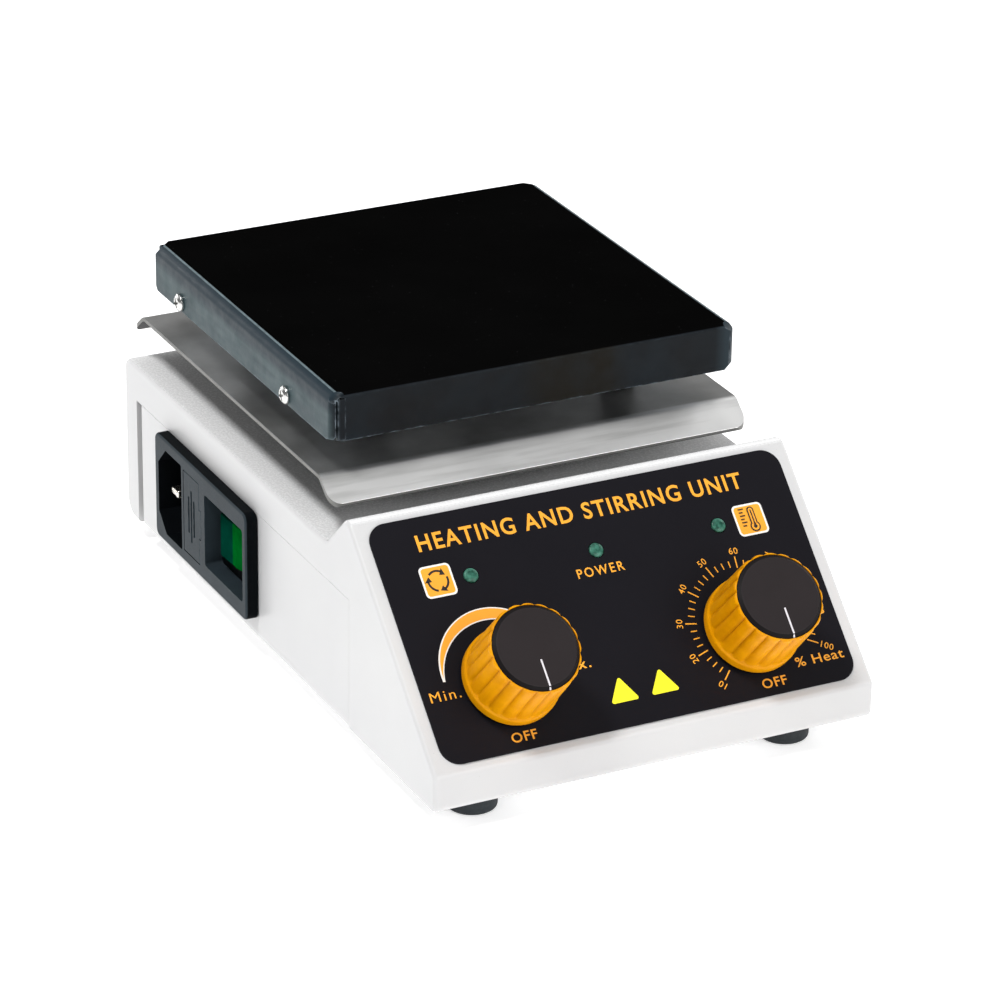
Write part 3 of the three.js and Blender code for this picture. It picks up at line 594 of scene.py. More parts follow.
def rocker_green():
    """Green switch plastic, with painted shade that makes the half that lies deeper a darker teal."""
    m = Nodes("rocker_green", 0.3, specular=0.0)
    edge = HOUSE.translation.y + ROCKER_EDGE * MM
    half = m.spread(m.axis(1), edge, edge + 0.3 * MM)
    clouds = m.clouds(260, 3)
    bright = m.mix(clouds, srgb(0, 84, 26), srgb(0, 98, 32))
    # painted shade: the deeper half gets a darker teal
    deep = m.mix(clouds, srgb(0, 48, 36), srgb(2, 60, 46))
    m.colour(m.mix(half, bright, deep))
    m.bump(m.noise(1800, 3), 0.01)
    return m.material


WHITE = powder_coat()
SATIN = brushed_sheet()
SLATE = plate_paint()
BLACK = plate_black()
# painted highlight: a lighter slate, with worn edges, for the border along the side bends
SLATE_HIGHLIGHT_AND_WEAR = plain("plate_border_highlight", (104, 120, 126), 0.4, 0.2, tone=0.3, patch=500, worn=(150, 166, 172))
YELLOW = knob_yellow()
LENS = lens_green()
GREEN = rocker_green()
CAP = plain("knob_cap", (42, 37, 38), 0.45, grain=0.008, tone=0.05,
            worn=(70, 64, 66), worn_width=0.12, specular=0.15)
POINTER = plain("pointer_white", (226, 222, 226), 0.4, tone=0.03, grain=0.006)
FILM = plain("label_film", (22, 21, 26), 0.42, tone=0.05, grain=0.006, fineness=3600, patch=50,
             specular=0.1)
INKS = {
    hue: plain(f"ink_{hue}", rgb, 0.5, tone=tone, grain=0.004)
    for hue, rgb, tone in (
        ("orange", (252, 172, 44), 0.04), ("white", (246, 244, 240), 0.02),
        ("black", (34, 28, 24), 0.05), ("yellow", (252, 246, 36), 0.03),
    )
}
# painted shade: a near-black copy of the cap finish for its bevelled edge
CAP_EDGE_SHADE = plain("knob_cap_edge_shade", (18, 15, 16), 0.5, grain=0.008, tone=0.05, specular=0.12)
MOULDED = plain("module_face", (42, 51, 57), 0.5, tone=0.14, fineness=3000, patch=140,
                worn=(78, 88, 94), worn_width=0.3, specular=0.14)
# painted shade: a near-black copy of the module's moulding for its edges and recesses
MOULDED_SHADE = plain("module_edge_shade", (6, 9, 12), 0.6, tone=0.1, fineness=3000,
                     worn=(20, 25, 29), worn_width=0.4, specular=0.04)
CUT_EDGE = plain("sheared_edge", (128, 128, 126), 0.5, 1, tone=0.12, patch=300, grain=0.01)
# painted shade: the shield's underside is a dark grey instead of its bright steel
UNDERSIDE_SHADE = plain("sheet_underside_shade", (52, 52, 52), 0.6, 0.3, tone=0.15, patch=120, grain=0.01)
RUBBER = plain("foot_rubber", (34, 40, 44), 0.75, tone=0.12, grain=0.04, fineness=1800, spread=0.1)
CHROME = plain("screw_chrome", (214, 214, 212), 0.2, 1, tone=0.1, grain=0.012, patch=500,
               worn=(245, 245, 245), worn_width=0.15)
STEEL = plain("zinc_steel", (176, 178, 180), 0.34, 1, tone=0.1, grain=0.01, patch=300, worn=(220, 220, 220))
NICKEL = plain("pin_nickel", (226, 222, 214), 0.24, 1, tone=0.06, grain=0.006, worn=(245, 242, 235))
TRAY = plain("tray_zinc", (150, 154, 158), 0.42, 0.85, tone=0.16, patch=240, worn=(200, 202, 204))
ALLOY = plain("cast_aluminium", (170, 173, 178), 0.45, 0.9, tone=0.08, grain=0.04, fineness=1600,
              worn=(212, 214, 216))
# painted shade: a dark finish for the upper spacers, standing in for the shade under the plate
SPACER_SHADE = plain("spacer_shade", (40, 42, 44), 0.5, 0.4, tone=0.12, grain=0.015, worn=(96, 98, 100))
FIBRE = plain("fibre_pad", (238, 236, 228), 0.95, tone=0.06, grain=0.12, fineness=1400)
MAGNET = plain("magnet_alloy", (140, 143, 147), 0.28, 1, tone=0.06, grain=0.008, worn=(206, 208, 210))
HOLDER = plain("holder_plastic", (226, 224, 216), 0.55, tone=0.04)
BOARD = plain("board", (24, 84, 50), 0.4, tone=0.1, grain=0.01, worn=(120, 140, 90))
GLASS = plain("fuse_glass", (216, 224, 224), 0.08, tone=0.04, grain=0.002, Transmission_Weight=0.6)
CONTROL = plain("regulator_case", (46, 56, 70), 0.45, 0.2, tone=0.1, worn=(90, 98, 108))
WINDING = plain("heater_mica", (190, 168, 120), 0.5, 0.1, tone=0.2, patch=400, grain=0.03)

# ---- Housing ----

PROFILE = [
    (0, BASE_Z, 2),
    (DEPTH, BASE_Z, 5),
    (DEPTH, DECK[1], 3),
    (*DECK, 3),
    (*RIDGE, 3),
    (0, LIP_Z, 2),
]


def pillars():
    """The places of the four pillar screws, in HOUSE."""
    return [spot(sx * PILLAR[0], PLATE_Y + sy * PILLAR[1]) for sx in (-1, 1) for sy in (-1, 1)]


def housing():
    body = slab(PROFILE, (-SIDE_X, SIDE_X), SIDE_ROUND, SIDE_ROUND, steps=8, round_steps=5)
    beyond = 8  # how far the hollow runs out through the open bottom
    hollow = [(a, b - beyond, 0) if b == BASE_Z else (a, b, r) for a, b, r in PROFILE]
    points = outline(hollow, WALL, 4)
    inner = loft([[(p.x, p.y, x) for p in points] for x in (WALL - SIDE_X, SIDE_X - WALL)])
    tools = [moved(inner, ACROSS)]
    for side in (-1, 1):
        wall = sorted((side * (SIDE_X + 1), side * (SIDE_X - WALL - 1)))
        tools.append(block(wall, WINDOW_Y, (0, WINDOW_TOP)))
    deck = (DECK[1] - 4, DECK[1] + 1)
    tools += [moved(pin(PILLAR_HOLE, deck), seat) for seat in pillars()]
    tools.append(moved(pin(SHAFT_HOLE, deck, 40), spot(0, PLATE_Y)))
    to_house = HOUSE.inverted() @ PANEL
    controls = [(x, KNOB_V, CONTROL_HOLE) for x in KNOB_X]
    lights = [(x, LED_V, LED_R + 0.2) for x in LED_X]
    tools += [moved(pin(r, (-6, 3)), to_house @ spot(x, v)) for x, v, r in controls + lights]
    shell = carved(moved(body, ACROSS), tools)

    def away_from_windows(edge):
        """False for the front and upper edges of the windows, which stay sharp."""
        near = 0.01
        return not all(
            abs(v.co.x) > SIDE_X - WALL - 0.1
            and (abs(v.co.y - WINDOW_Y[0]) < near or abs(v.co.z - WINDOW_TOP) < near)
            for v in edge.verts
        )

    shell = eased(shell, 0.35, 2, 55, away_from_windows)
    piece("housing_shell", shell, WHITE, replaces=["housing"], smooth=40)


housing()


def rubber_foot(node):
    """A pushed-in rubber foot with a rounded tread and a ring groove underneath."""
    lo, hi, centre = house_box(node)
    r = (hi.x - lo.x) / 2
    profile = soft([  # radius, height, rounding
        (0, 0.5, 0), (2.6, 0.5, 0.3), (3.1, 0, 0.3), (4.4, 0, 0.2),
        (4.7, 0.4, 0.1), (5.1, 0.4, 0.1), (5.4, 0, 0.2), (r - 0.3, 0, 0.9), (r, 5.5, 0.7),
        (r - 0.5, 6, 0.2), (2.4, 6, 0), (2.4, 8.1, 0), (3.3, 8.1, 0.3), (2.2, 10.3, 0.5), (0, 10.3, 0),
    ])
    place = HOUSE @ spot(centre.x, centre.y)
    piece(node + "_rubber", lathe(profile, 56), RUBBER, place=place, replaces=[node])


for number in range(1, 5):
    rubber_foot(f"foot_{number}")


def crossed_screw(node, centre, direction, head, length, shank, dome=1.0):
    """A pan-head screw with a cross recess. Its head sits at centre and looks along direction."""
    rim = 0.75
    top = rim * (1 + dome)
    askew = 0.35  # how far the cross is turned
    profile = soft([  # radius, height, rounding
        (0, -length, 0), (shank * 0.7, -length, 0.2), (shank, -length + 1, 0.2), (shank, 0, 0),
        (head, 0, 0.15), (head, rim, 0.5), (head * 0.62, rim + dome * 0.62, 0.9), (0, top, 0),
    ])
    body = lathe(profile, 40)
    arms = []
    reach = head * 0.56
    for angle in (0, math.pi / 2):
        arm = slab(rectangle((-reach, reach), (-0.28, 0.28), 0.2), (top - 1, top + 2), steps=3)
        arms.append(moved(arm, turned(angle + askew)))
    heart = slab(rectangle((-0.62, 0.62), (-0.62, 0.62), 0.25), (top - 1.2, top + 2), steps=3)
    body = carved(body, [*arms, moved(heart, turned(math.pi / 4 + askew))])
    place = HOUSE @ spot(*centre) @ looking(direction)
    body = eased(body, 0.06, 1, 50)
    piece(node + "_pan", body, CHROME, place=place, replaces=[node])


for number in range(1, 5):
    side = -1 if number < 3 else 1
    _, _, centre = house_box(f"plate_screw_{number}")
    centre.x = side * (PLATE_HALF + 0.05)
    crossed_screw(f"plate_screw_{number}", centre, (side, 0, 0), head=2.35, length=5, shank=1.2)
    _, _, centre = house_box(f"base_screw_{number}")
    centre.z = BASE_SCREW_Z
    crossed_screw(f"base_screw_{number}", centre, (0, 0, -1), head=2.8, length=9, shank=1.5, dome=0.9)

# ---- Front panel ----


def overlay():
    w, h = LABEL_SIZE
    corners = rectangle((-w / 2, w / 2), (LABEL_V - h / 2, LABEL_V + h / 2), 5)
    film = slab(corners, (0.03, LABEL_TOP), top=0.12, steps=10, round_steps=2)
    tools = [moved(pin(CONTROL_HOLE + 0.2, (-1, 2), 32), spot(x, KNOB_V)) for x in KNOB_X]
    tools += [moved(pin(LED_R + 0.12, (-1, 2), 32), spot(x, LED_V)) for x in LED_X]
    piece("label_overlay", carved(film, tools), FILM, place=PANEL, replaces=["front_label"])


overlay()

prints = {hue: [] for hue in INKS}


def ink(colour, corners, layer, steps=4, place=None):
    """Prints a filled outline on the overlay, on top of so many other layers."""
    foot = LABEL_TOP - 0.01 if layer == 1 else LABEL_TOP + (layer - 1) * INK
    shape = slab(corners, (foot, LABEL_TOP + layer * INK), steps=steps)
    prints[colour].append(moved(shape, place) if place else shape)


def lettering(text, x, v, height, width=None, angle=0.0, bold=0.004, align=0.5, spacing=1.12):
    """Prints text with its foot at v, its caps this high and its align share of the width at x."""
    font = bpy.data.curves.new("lettering", "FONT")
    font.body = text
    font.size = 10
    font.offset = bold * 10
    font.space_character = spacing
    font.resolution_u = 4
    thing = in_scene("lettering", font)
    flat = evaluated(thing)
    bpy.data.objects.remove(thing)
    bpy.data.curves.remove(font)
    left = min(p.co.x for p in flat.verts)
    right = max(p.co.x for p in flat.verts)
    caps = 7.29 + 2 * bold * 10  # cap height of the built-in font at this size
    tall = height / caps
    wide = width / (right - left) if width else tall
    shift = spot(-left - align * (right - left), bold * 10, 0)
    stretch = Matrix.Diagonal((wide, tall, 1, 1))
    place = spot(x, v, LABEL_TOP + INK) @ turned(angle) @ stretch @ shift
    flat.transform(place)
    prints["orange"].append(flat)


def clockwise(centre, radius, degrees):
    """A point on a circle, so many degrees clockwise from six o'clock."""
    a = math.radians(degrees)
    return centre[0] - radius * math.sin(a), centre[1] - radius * math.cos(a)


def heat_scale():
    """Ten numbers with long marks, and three short marks between each two."""
    centre = (33.5, 21.3)
    first, step = 44, 28.33  # degrees
    digits, around = 1.75, 18.4  # height of the numbers and radius of their feet
    for i in range(37):
        degrees = first + step * i / 4
        major = i % 4 == 0
        inner, outer, half = (14.7, 17.7, 0.16) if major else (15.0, 16.7, 0.14)
        place = spot(*centre) @ turned(-math.radians(degrees))
        ink("orange", rectangle((-half, half), (-outer, -inner)), 1, place=place)
        if major:
            angle = math.pi - math.radians(degrees)
            x, v = clockwise(centre, around, degrees)
            number = 10 + 10 * i // 4
            if number < 100:
                lettering(str(number), x, v, digits, angle=angle)
            else:  # the last number is read outwards along its mark
                x, v = clockwise(centre, around, degrees + 2.6)
                lettering(str(number), x, v, digits, angle=angle + math.pi / 2, align=0)


def speed_crescent():
    """A crescent over the speed knob, orange with a white keyline."""
    centre = (-34.6, 21)
    tip, top = 100, 180  # degrees
    radius, most = 15.2, 2.6  # inner radius and greatest width

    def points(grow):
        outer, inner = [], []
        for k in range(41):
            share = k / 40
            degrees = tip - 3 * grow + (2 * (top - tip) + 6 * grow) * share
            thick = most * math.sin(math.pi * share) ** 0.95
            outer.append(clockwise(centre, radius + thick + 0.3 * grow, degrees))
            inner.append(clockwise(centre, radius - 0.3 * grow, degrees))
        return [(x, v, 0) for x, v in [*inner, *outer[::-1]]]

    ink("white", points(1), 1)
    ink("orange", points(0), 2)


def badge(x, v):
    """A rounded orange square with a white keyline."""
    for layer, colour, half, corner in ((1, "white", 4.15, 1.2), (2, "orange", 3.65, 0.8)):
        ink(colour, rectangle((-half, half), (-half, half), corner), layer, place=spot(x, v))


def stir_badge():
    """Three arrows that chase each other round a ring."""
    centre = (-42.7, 48)
    badge(*centre)
    outer, inner, sweep = 2.85, 2.3, 80
    for start in (15, 135, 255):
        around = [start + sweep * k / 12 for k in range(13)]
        ring = [(*clockwise(centre, inner, degrees), 0) for degrees in around]
        ring += [(*clockwise(centre, outer, degrees), 0) for degrees in reversed(around)]
        ink("black", ring, 3)
        barbs = [clockwise(centre, radius, start + 74) for radius in (3.5, 1.6)]
        tip = clockwise(centre, 2.55, start + 107)
        ink("black", [(*point, 0) for point in (tip, *barbs)], 3)


def heat_badge():
    """A thermometer with six marks."""
    x, v = 43, 47.6
    badge(x, v)
    place = spot(x + 0.7, v) @ Matrix.Scale(1.18, 4)
    glass = ((3, "black", 0.78, 1.15), (4, "orange", 0.5, 0.86), (5, "black", 0.15, 0.42))
    for layer, colour, half, bulb in glass:
        top = 2.75 - (0.78 - half)
        foot = -1.75  # the bulb's middle
        ink(colour, rectangle((-half, half), (-1.4, top), min(half, 0.7) * 0.98), layer, place=place)
        ink(colour, rectangle((-bulb, bulb), (foot - bulb, foot + bulb), bulb * 0.98), layer, 6, place)
    for k in range(6):
        level = 2.5 - 0.75 * k
        end = -1.5 - 0.35 * (k % 2)
        ink("black", rectangle((-2.75, end), (level - 0.13, level + 0.13)), 3, place=place)


def lines_of_print():
    """The words, and two plain warning triangles without a pictogram."""
    lettering("HEATING AND STIRRING UNIT", -0.3, 56, 4.6, width=89.2, bold=0.02, spacing=1.16)
    lettering("POWER", -0.65, 41.3, 2.6, width=12.8, bold=0.012, spacing=1.3)
    lettering("Min.", -50.6, 18.3, 2.7, width=8, bold=0, spacing=1.22)
    lettering("Max.", -16.3, 18.9, 2.7, width=9.4, bold=0.01, spacing=1.22)
    lettering("OFF", -34.5, 4.4, 2.6, width=6.8, bold=0.016)
    lettering("OFF", 33.8, 4.2, 2.6, width=6.8, bold=0.016)
    lettering("% Heat", 47.8, 7.8, 2.6, width=13.4, bold=0.01)
    ink("yellow", [(-10.0, 8.6, 0.5), (-2.1, 8.6, 0.5), (-5.9, 15.2, 0.5)], 1)
    ink("yellow", [(1.0, 8.7, 0.5), (9.0, 8.7, 0.5), (5.1, 15.1, 0.5)], 1)


heat_scale()
speed_crescent()
stir_badge()
heat_badge()
lines_of_print()
for hue, finish in INKS.items():
    piece(f"print_{hue}", joined(*prints[hue]), finish, place=PANEL)


def indicator(node, x):
    """A round lens that stands a little proud, with a thin collar."""
    lens = soft([
        (0, -4.4, 0), (2.7, -4.4, 0.2), (2.7, -2.8, 0.2), (LED_R - 0.1, -2.8, 0), (LED_R - 0.1, 0.75, 0.35),
        (LED_R * 0.5, 1.0, 1.2), (0, 1.05, 0),
    ], 6)
    place = PANEL @ spot(x, LED_V)
    piece(node + "_lens", lathe(lens, 48), LENS, place=place, replaces=[node])


for node, x in zip(("led_stir", "led_power", "led_heat"), LED_X):
    indicator(node, x)


def knob(kind, x):
    """A fluted skirtless knob with a smooth foot ring, a dark cap let into it and a white pointer."""
    rim = KNOB_H - 0.6
    rings = [  # radius, height, share of the flutes' depth
        (0, 16.3, 0), (3.3, 16.3, 0), (3.3, 6.7, 0), (8.4, 6.7, 0), (8.4, 1.8, 0), (8.7, 1.5, 0),
        (11.9, 1.5, 0), (12.2, 1.65, 0), (12.35, 2.0, 0), (12.35, 3.9, 0), (12.25, 4.3, 0), (12.0, 4.55, 0),
        (11.92, 4.7, 0.1), (11.9, 5.2, 0.5), (11.89, 6.0, 0.9), (11.8, 12, 1), (11.68, rim - 1.0, 1),
        (11.6, rim - 0.5, 0.95), (11.45, rim - 0.15, 0.75), (11.25, rim, 0.4), (11.05, rim, 0.1),
        (10.98, rim - 0.12, 0), (10.98, 19.45, 0), (0, 19.45, 0),
    ]

    def groove(angle, i):
        lobe = abs(math.sin(angle * FLUTES / 2))
        return 0.55 * rings[i][2] * (1 - lobe) ** 1.4

    place = PANEL @ spot(x, KNOB_V)
    body = f"{kind}_control"
    skin = lathe([(r, z) for r, z, share in rings], FLUTES * 14, groove)
    piece(f"{kind}_knob_body", skin, YELLOW, body, place, [f"{kind}_knob"], smooth=50)
    cap = soft([
        (0, 19.5, 0), (CAP_R, 19.5, 0), (CAP_R, KNOB_H - 0.7, 0.2), (CAP_R - 0.9, KNOB_H, 0.35),
        (0, KNOB_H, 0),
    ], 5)
    disc = lathe(cap, 96)
    bmesh.ops.recalc_face_normals(disc, faces=disc.faces)
    # painted shade: the cap's bevel faces get the near-black edge finish
    piece(
        f"{kind}_knob_inlay", disc, [CAP, CAP_EDGE_SHADE], body, place, [f"{kind}_knob_cap"],
        smooth=25, pick=lambda face: int(face.normal.z < 0.9),
    )
    half, sunk, raised = 0.23, 0.1, 0.05
    flat = CAP_R - 1.1
    course = [(3.2, 0), (flat, 0), (flat + 0.15, 0.04), (CAP_R - 0.05, 0.66)]  # radius, drop from the top
    line = []
    for r, drop in course:
        low, high = KNOB_H - drop - sunk, KNOB_H - drop + raised
        line.append([(-half, -r, low), (half, -r, low), (half, -r, high), (-half, -r, high)])
    pointer = eased(loft(line[::-1]), 0.03, 1)
    piece(f"{kind}_pointer", pointer, POINTER, body, place, smooth=25)


knob("speed", KNOB_X[0])
knob("heat", KNOB_X[1])

# ---- Mains inlet module ----

CHAMFER = 5  # the recess's two bevelled corners
INLET_CUT = [
    (RECESS_Y[0], RECESS_Z[0], 0.6),
    (RECESS_Y[1] - CHAMFER, RECESS_Z[0], 0.4),
    (RECESS_Y[1], RECESS_Z[0] + CHAMFER, 0.4),
    (RECESS_Y[1], RECESS_Z[1] - CHAMFER, 0.4),
    (RECESS_Y[1] - CHAMFER, RECESS_Z[1], 0.4),
    (RECESS_Y[0], RECESS_Z[1], 0.6),
]
RECESS_FLOOR = -46
SWITCH_FLOOR = FACE_X + 4.9
TAB = (1.2, 4.2)  # the drawer's side tab: how far it stands out, and half its height


def drawer_outline(margin):
    """The fuse drawer's face, with a tab in the middle of its front edge, grown by margin."""
    y0, y1 = DRAWER_Y[0] - margin, DRAWER_Y[1] + margin
    z0, z1 = DRAWER_Z[0] - margin, DRAWER_Z[1] + margin
    out, half = TAB[0], TAB[1] + margin
    return [
        (y0, z0, 0.3), (y1, z0, 0.3), (y1, z1, 0.3), (y0, z1, 0.3), (y0, MID_Z + half, 0),
        (y0 - out, MID_Z + half, 0.2), (y0 - out, MID_Z - half, 0.2), (y0, MID_Z - half, 0),
    ]


def inlet():
    flange = slab(rectangle(INLET_Y, INLET_Z, 2.2), (FACE_X, MODULE_X[0] + 0.2), bottom=0.7, steps=8)
    body = slab(rectangle((INLET_Y[0] + 1.5, INLET_Y[1] - 1.2), MODULE_Z, 0.6), MODULE_X)
    whole = carved(moved(flange, ACROSS), [moved(body, ACROSS)], "UNION")
    outside = FACE_X - 1
    tab = slab(drawer_outline(0), (outside, -58))
    tools = [
        moved(slab(INLET_CUT, (outside, RECESS_FLOOR)), ACROSS),
        moved(slab(rectangle(DRAWER_Y, DRAWER_Z, 0.3), (outside, RECESS_FLOOR)), ACROSS),
        moved(tab, ACROSS),
        moved(slab(rectangle(ROCKER_Y, ROCKER_Z, 0.9), (outside, SWITCH_FLOOR)), ACROSS),
        block((SWITCH_FLOOR - 1, RECESS_FLOOR), (106.7, 125.9), (20.6, 33.4)),  # room for the rocker
    ]
    whole = eased(carved(whole, tools), 0.22, 2, 45)

    def side_faces(face):
        """0 on the face and in the switch recess, 1 on the flange's edge and in the other recesses, which
        get a near-black copy of the moulding as painted shade.
        """
        centre = face.calc_center_median()
        inside_y = INLET_Y[0] + 1 < centre.y < INLET_Y[1] - 1
        on_rim = not (inside_y and INLET_Z[0] + 1 < centre.z < INLET_Z[1] - 1)
        in_recess = centre.y > RECESS_Y[0] - 0.3 and centre.x > FACE_X + 0.5
        behind = centre.x > SWITCH_FLOOR - 0.3
        return int((on_rim and centre.x > FACE_X + 0.35) or in_recess or behind)

    piece(
        "inlet_module", whole, [MOULDED, MOULDED_SHADE], replaces=["inlet_housing"],
        pick=side_faces,
    )
    for kind in ("earth", "live", "neutral"):
        lo, hi, _ = house_box(f"inlet_pin_{kind}")
        tip = lo.x if kind == "earth" else lo.x + 3.2  # the earth pin is the long one
        blade = slab(rectangle((lo.y, hi.y), (lo.z, hi.z), 0.35), (tip, hi.x), bottom=0.7, steps=3)
        piece(f"inlet_blade_{kind}", moved(blade, ACROSS), NICKEL, replaces=[f"inlet_pin_{kind}"])


inlet()


def fuse_drawer():
    """The drawer's face with three finger grooves, and the open carrier behind it."""
    block_back = -47
    face = moved(slab(drawer_outline(-0.22), (FACE_X + 0.02, FACE_X + 4.4), bottom=0.15, steps=3), ACROSS)
    stem = moved(slab(rectangle((132.15, 141.85), (15.85, 38.15), 0.3), (FACE_X + 4, block_back)), ACROSS)
    whole = carved(face, [stem], "UNION")
    tools = [block((-58.4, -50.8), (130, 144), (16.9, 37.1))]  # where the fuse lies
    for step, reach in ((-1.7, 5.2), (0, 7.4), (1.7, 5.2)):
        middle = sum(DRAWER_Y) / 2 + step
        groove = rectangle((middle - 0.42, middle + 0.42), (MID_Z - reach, MID_Z + reach), 0.4)
        tools.append(moved(slab(groove, (FACE_X - 1, FACE_X + 0.75), steps=3), ACROSS))
    whole = eased(carved(whole, tools), 0.1, 1, 45)
    piece("fuse_drawer_body", whole, MOULDED, "fuse_tray", replaces=["fuse_drawer"])


fuse_drawer()


def rocker():
    """A rocker with a raised edge across its middle, tipped to its rest position."""
    half = 9
    pivot = (FACE_X + 7.2, sum(ROCKER_Y) / 2)
    shape = [
        (-3, -half, 0.5), (5.5, -half + 3.5, 2), (5.5, half - 3.5, 2), (-3, half, 0.5),
        (-3.5, half * 0.62, 1.5), (-4.0, 0.4, 0.4), (-4.35, -0.2, 0.4), (-3.75, -half * 0.62, 2),
    ]
    paddle = slab(shape, (MID_Z - 6, MID_Z + 6), top=0.5, bottom=0.5, steps=5)
    place = spot(*pivot) @ turned(ROCKER_TILT)
    piece(
        "rocker_paddle", moved(paddle, place), GREEN, "power_rocker",
        replaces=["rocker_switch"],
    )


rocker()

# ---- Heat shield ----


def heat_shield():
    """A flat bright sheet whose front and back edges are folded down."""
    front, back = SHIELD_FOLDS
    run, drop = FLANGE
    t = SHIELD_SHEET
    lift = t / math.cos(math.atan2(drop, run))
    corners = [
        (front - run, SHIELD_TOP - drop - lift, 0.3),
        (front + 0.3, SHIELD_TOP - t, 1.6),
        (back - 0.3, SHIELD_TOP - t, 1.6),
        (back + run, SHIELD_TOP - drop - lift, 0.3),
        (back + run, SHIELD_TOP - drop, 0.3),
        (back, SHIELD_TOP, 2.6),
        (front, SHIELD_TOP, 2.6),
        (front - run, SHIELD_TOP - drop, 0.3),
    ]
    sheet = moved(slab(corners, (-SHIELD_HALF, SHIELD_HALF), steps=6), ACROSS)
    plan = rectangle((-SHIELD_HALF, SHIELD_HALF), (front - run, back + run), 3.2)
    sheet = carved(sheet, [slab(plan, (50, 80), steps=8)], "INTERSECT")
    holes = [moved(pin(PILLAR_HOLE - 0.1, (SHIELD_TOP - 5, SHIELD_TOP + 5)), seat) for seat in pillars()]
    sheet = eased(carved(sheet, holes), 0.14, 2, 50)

    def side(face):
        """0 on the upper side, 1 underneath, where a dark grey stands in for shade, and 2 on the cut edges.
        """
        return 1 if face.normal.z < -0.5 else 2 * (face.normal.z < 0.35)

    bmesh.ops.recalc_face_normals(sheet, faces=sheet.faces)
    piece(
        "shield_sheet", sheet, [SATIN, UNDERSIDE_SHADE, CUT_EDGE],
        replaces=["heat_shield"], pick=side,
    )


heat_shield()


def spacer(node, finish):
    """A turned tube with eased ends, and a shallow groove round its middle."""
    lo, hi, centre = house_box(node)
    r = (hi.x - lo.x) / 2
    z0, z1, middle = lo.z, hi.z, centre.z
    profile = outline([
        (2.3, z0, 0.2), (r, z0, 0.4), (r, middle - 0.6, 0.1), (r - 0.25, middle - 0.3, 0.1),
        (r - 0.25, middle + 0.3, 0.1), (r, middle + 0.6, 0.1), (r, z1, 0.4), (2.3, z1, 0.2),
    ], 0, 3)
    bm = lathe([tuple(p) for p in [*profile, profile[0]]], 48)
    bmesh.ops.remove_doubles(bm, verts=bm.verts, dist=1e-4)
    place = HOUSE @ spot(centre.x, centre.y)
    piece(node + "_turned", bm, finish, place=place, replaces=[node])


for number in range(1, 5):
    spacer(f"lower_spacer_{number}", STEEL)
    # the upper spacers take the dark finish, painted shade
    spacer(f"upper_spacer_{number}", SPACER_SHADE)

# ---- Hot plate ----


def corner_cut(corner, outwards, depth):
    """A block that takes a corner off, so far in along the direction outwards."""
    outwards = Vector(outwards).normalized()
    place = spot(*Vector(corner) - outwards * depth) @ looking(outwards)
    return moved(block((-5, 5), (-5, 5), (0, 5)), place)


def plate_cover():
    """A folded black-topped sheet. Its side flanges turn the corners and end in seams."""
    x = (-PLATE_HALF, PLATE_HALF)
    y = (PLATE_Y - PLATE_HALF, PLATE_Y + PLATE_HALF)
    t = COVER_SHEET
    side_bend, end_bend = PLATE_BENDS
    plan = rectangle(x, y, PLATE_CORNER)
    cover = slab(plan, (PLATE_FOOT, PLATE_TOP), top=end_bend, steps=8, round_steps=5)
    seen_from_front = [
        (x[0], PLATE_FOOT - 1, 0), (x[1], PLATE_FOOT - 1, 0),
        (x[1], PLATE_TOP, side_bend), (x[0], PLATE_TOP, side_bend),
    ]
    rounder = moved(slab(seen_from_front, (-y[1] - 1, 1 - y[0]), steps=8), ALONG)
    cover = carved(cover, [rounder], "INTERSECT")
    hollow = rectangle((x[0] + t, x[1] - t), (y[0] + t, y[1] - t), 0.8)
    tools = [slab(hollow, (PLATE_FOOT - 5, PLATE_TOP - t - 1))]
    ridges = []
    for sx in (-1, 1):
        for sy in (-1, 1):
            seam = sx * (PLATE_HALF - SEAM)
            edge = PLATE_Y + sy * (PLATE_HALF - t / 2)
            gap = 0.22 if sx < 0 else 0.06
            across, height = (edge - 1.5, edge + 1.5), (PLATE_FOOT - 5, PLATE_TOP - 1.9)
            tools.append(block((seam - gap, seam + gap), across, height))
            corner = (sx * PLATE_HALF, PLATE_Y + sy * PLATE_HALF)
            tools.append(corner_cut((*corner, PLATE_FOOT), (sx, sy, -1), 1.7))
            tools.append(corner_cut((*corner, PLATE_TOP), (sx, sy, 1.2), 2.5 + 0.2 * sy))
            if sx < 0:  # only the seams on the left have a bead beside them
                plan, height = rectangle((-1, 1), (-0.45, 0.45), 0.44), (PLATE_FOOT + 0.3, PLATE_TOP - 1.1)
                bead = slab(plan, height, top=0.4, bottom=0.3, steps=5)
                ridges.append(moved(bead, spot(seam - sx * 1.25, PLATE_Y + sy * (PLATE_HALF - 0.25))))
    for screw_y in PLATE_SCREW_Y:
        for side in (-1, 1):
            seat = spot(side * PLATE_HALF, screw_y, PLATE_SCREW_Z)
            tools.append(moved(pin(1.5, (-4, 4), 20), seat @ turned(math.pi / 2, "Y")))
    cover = carved(carved(cover, tools), ridges, "UNION")
    cover = eased(cover, 0.18, 2, 50)

    def painted(face):
        """0 for the slate paint, 1 for the black coat and 2 for a lighter border along the side bends, a
        painted highlight.
        """
        n = face.normal
        if n.z < 0.55 or face.calc_center_median().z < PLATE_TOP - side_bend:
            return 0
        if abs(n.x) < 0.1:
            return 1
        # painted highlight on the upper part of the side bends
        return 2 if n.z > 0.9 else 0

    bmesh.ops.recalc_face_normals(cover, faces=cover.faces)
    piece(
        "plate_cover_sheet", cover, [SLATE, BLACK, SLATE_HIGHLIGHT_AND_WEAR], replaces=["plate_cover"],
        pick=painted, smooth=40,
    )


plate_cover()

# ---- CAD pieces that keep their shape ----

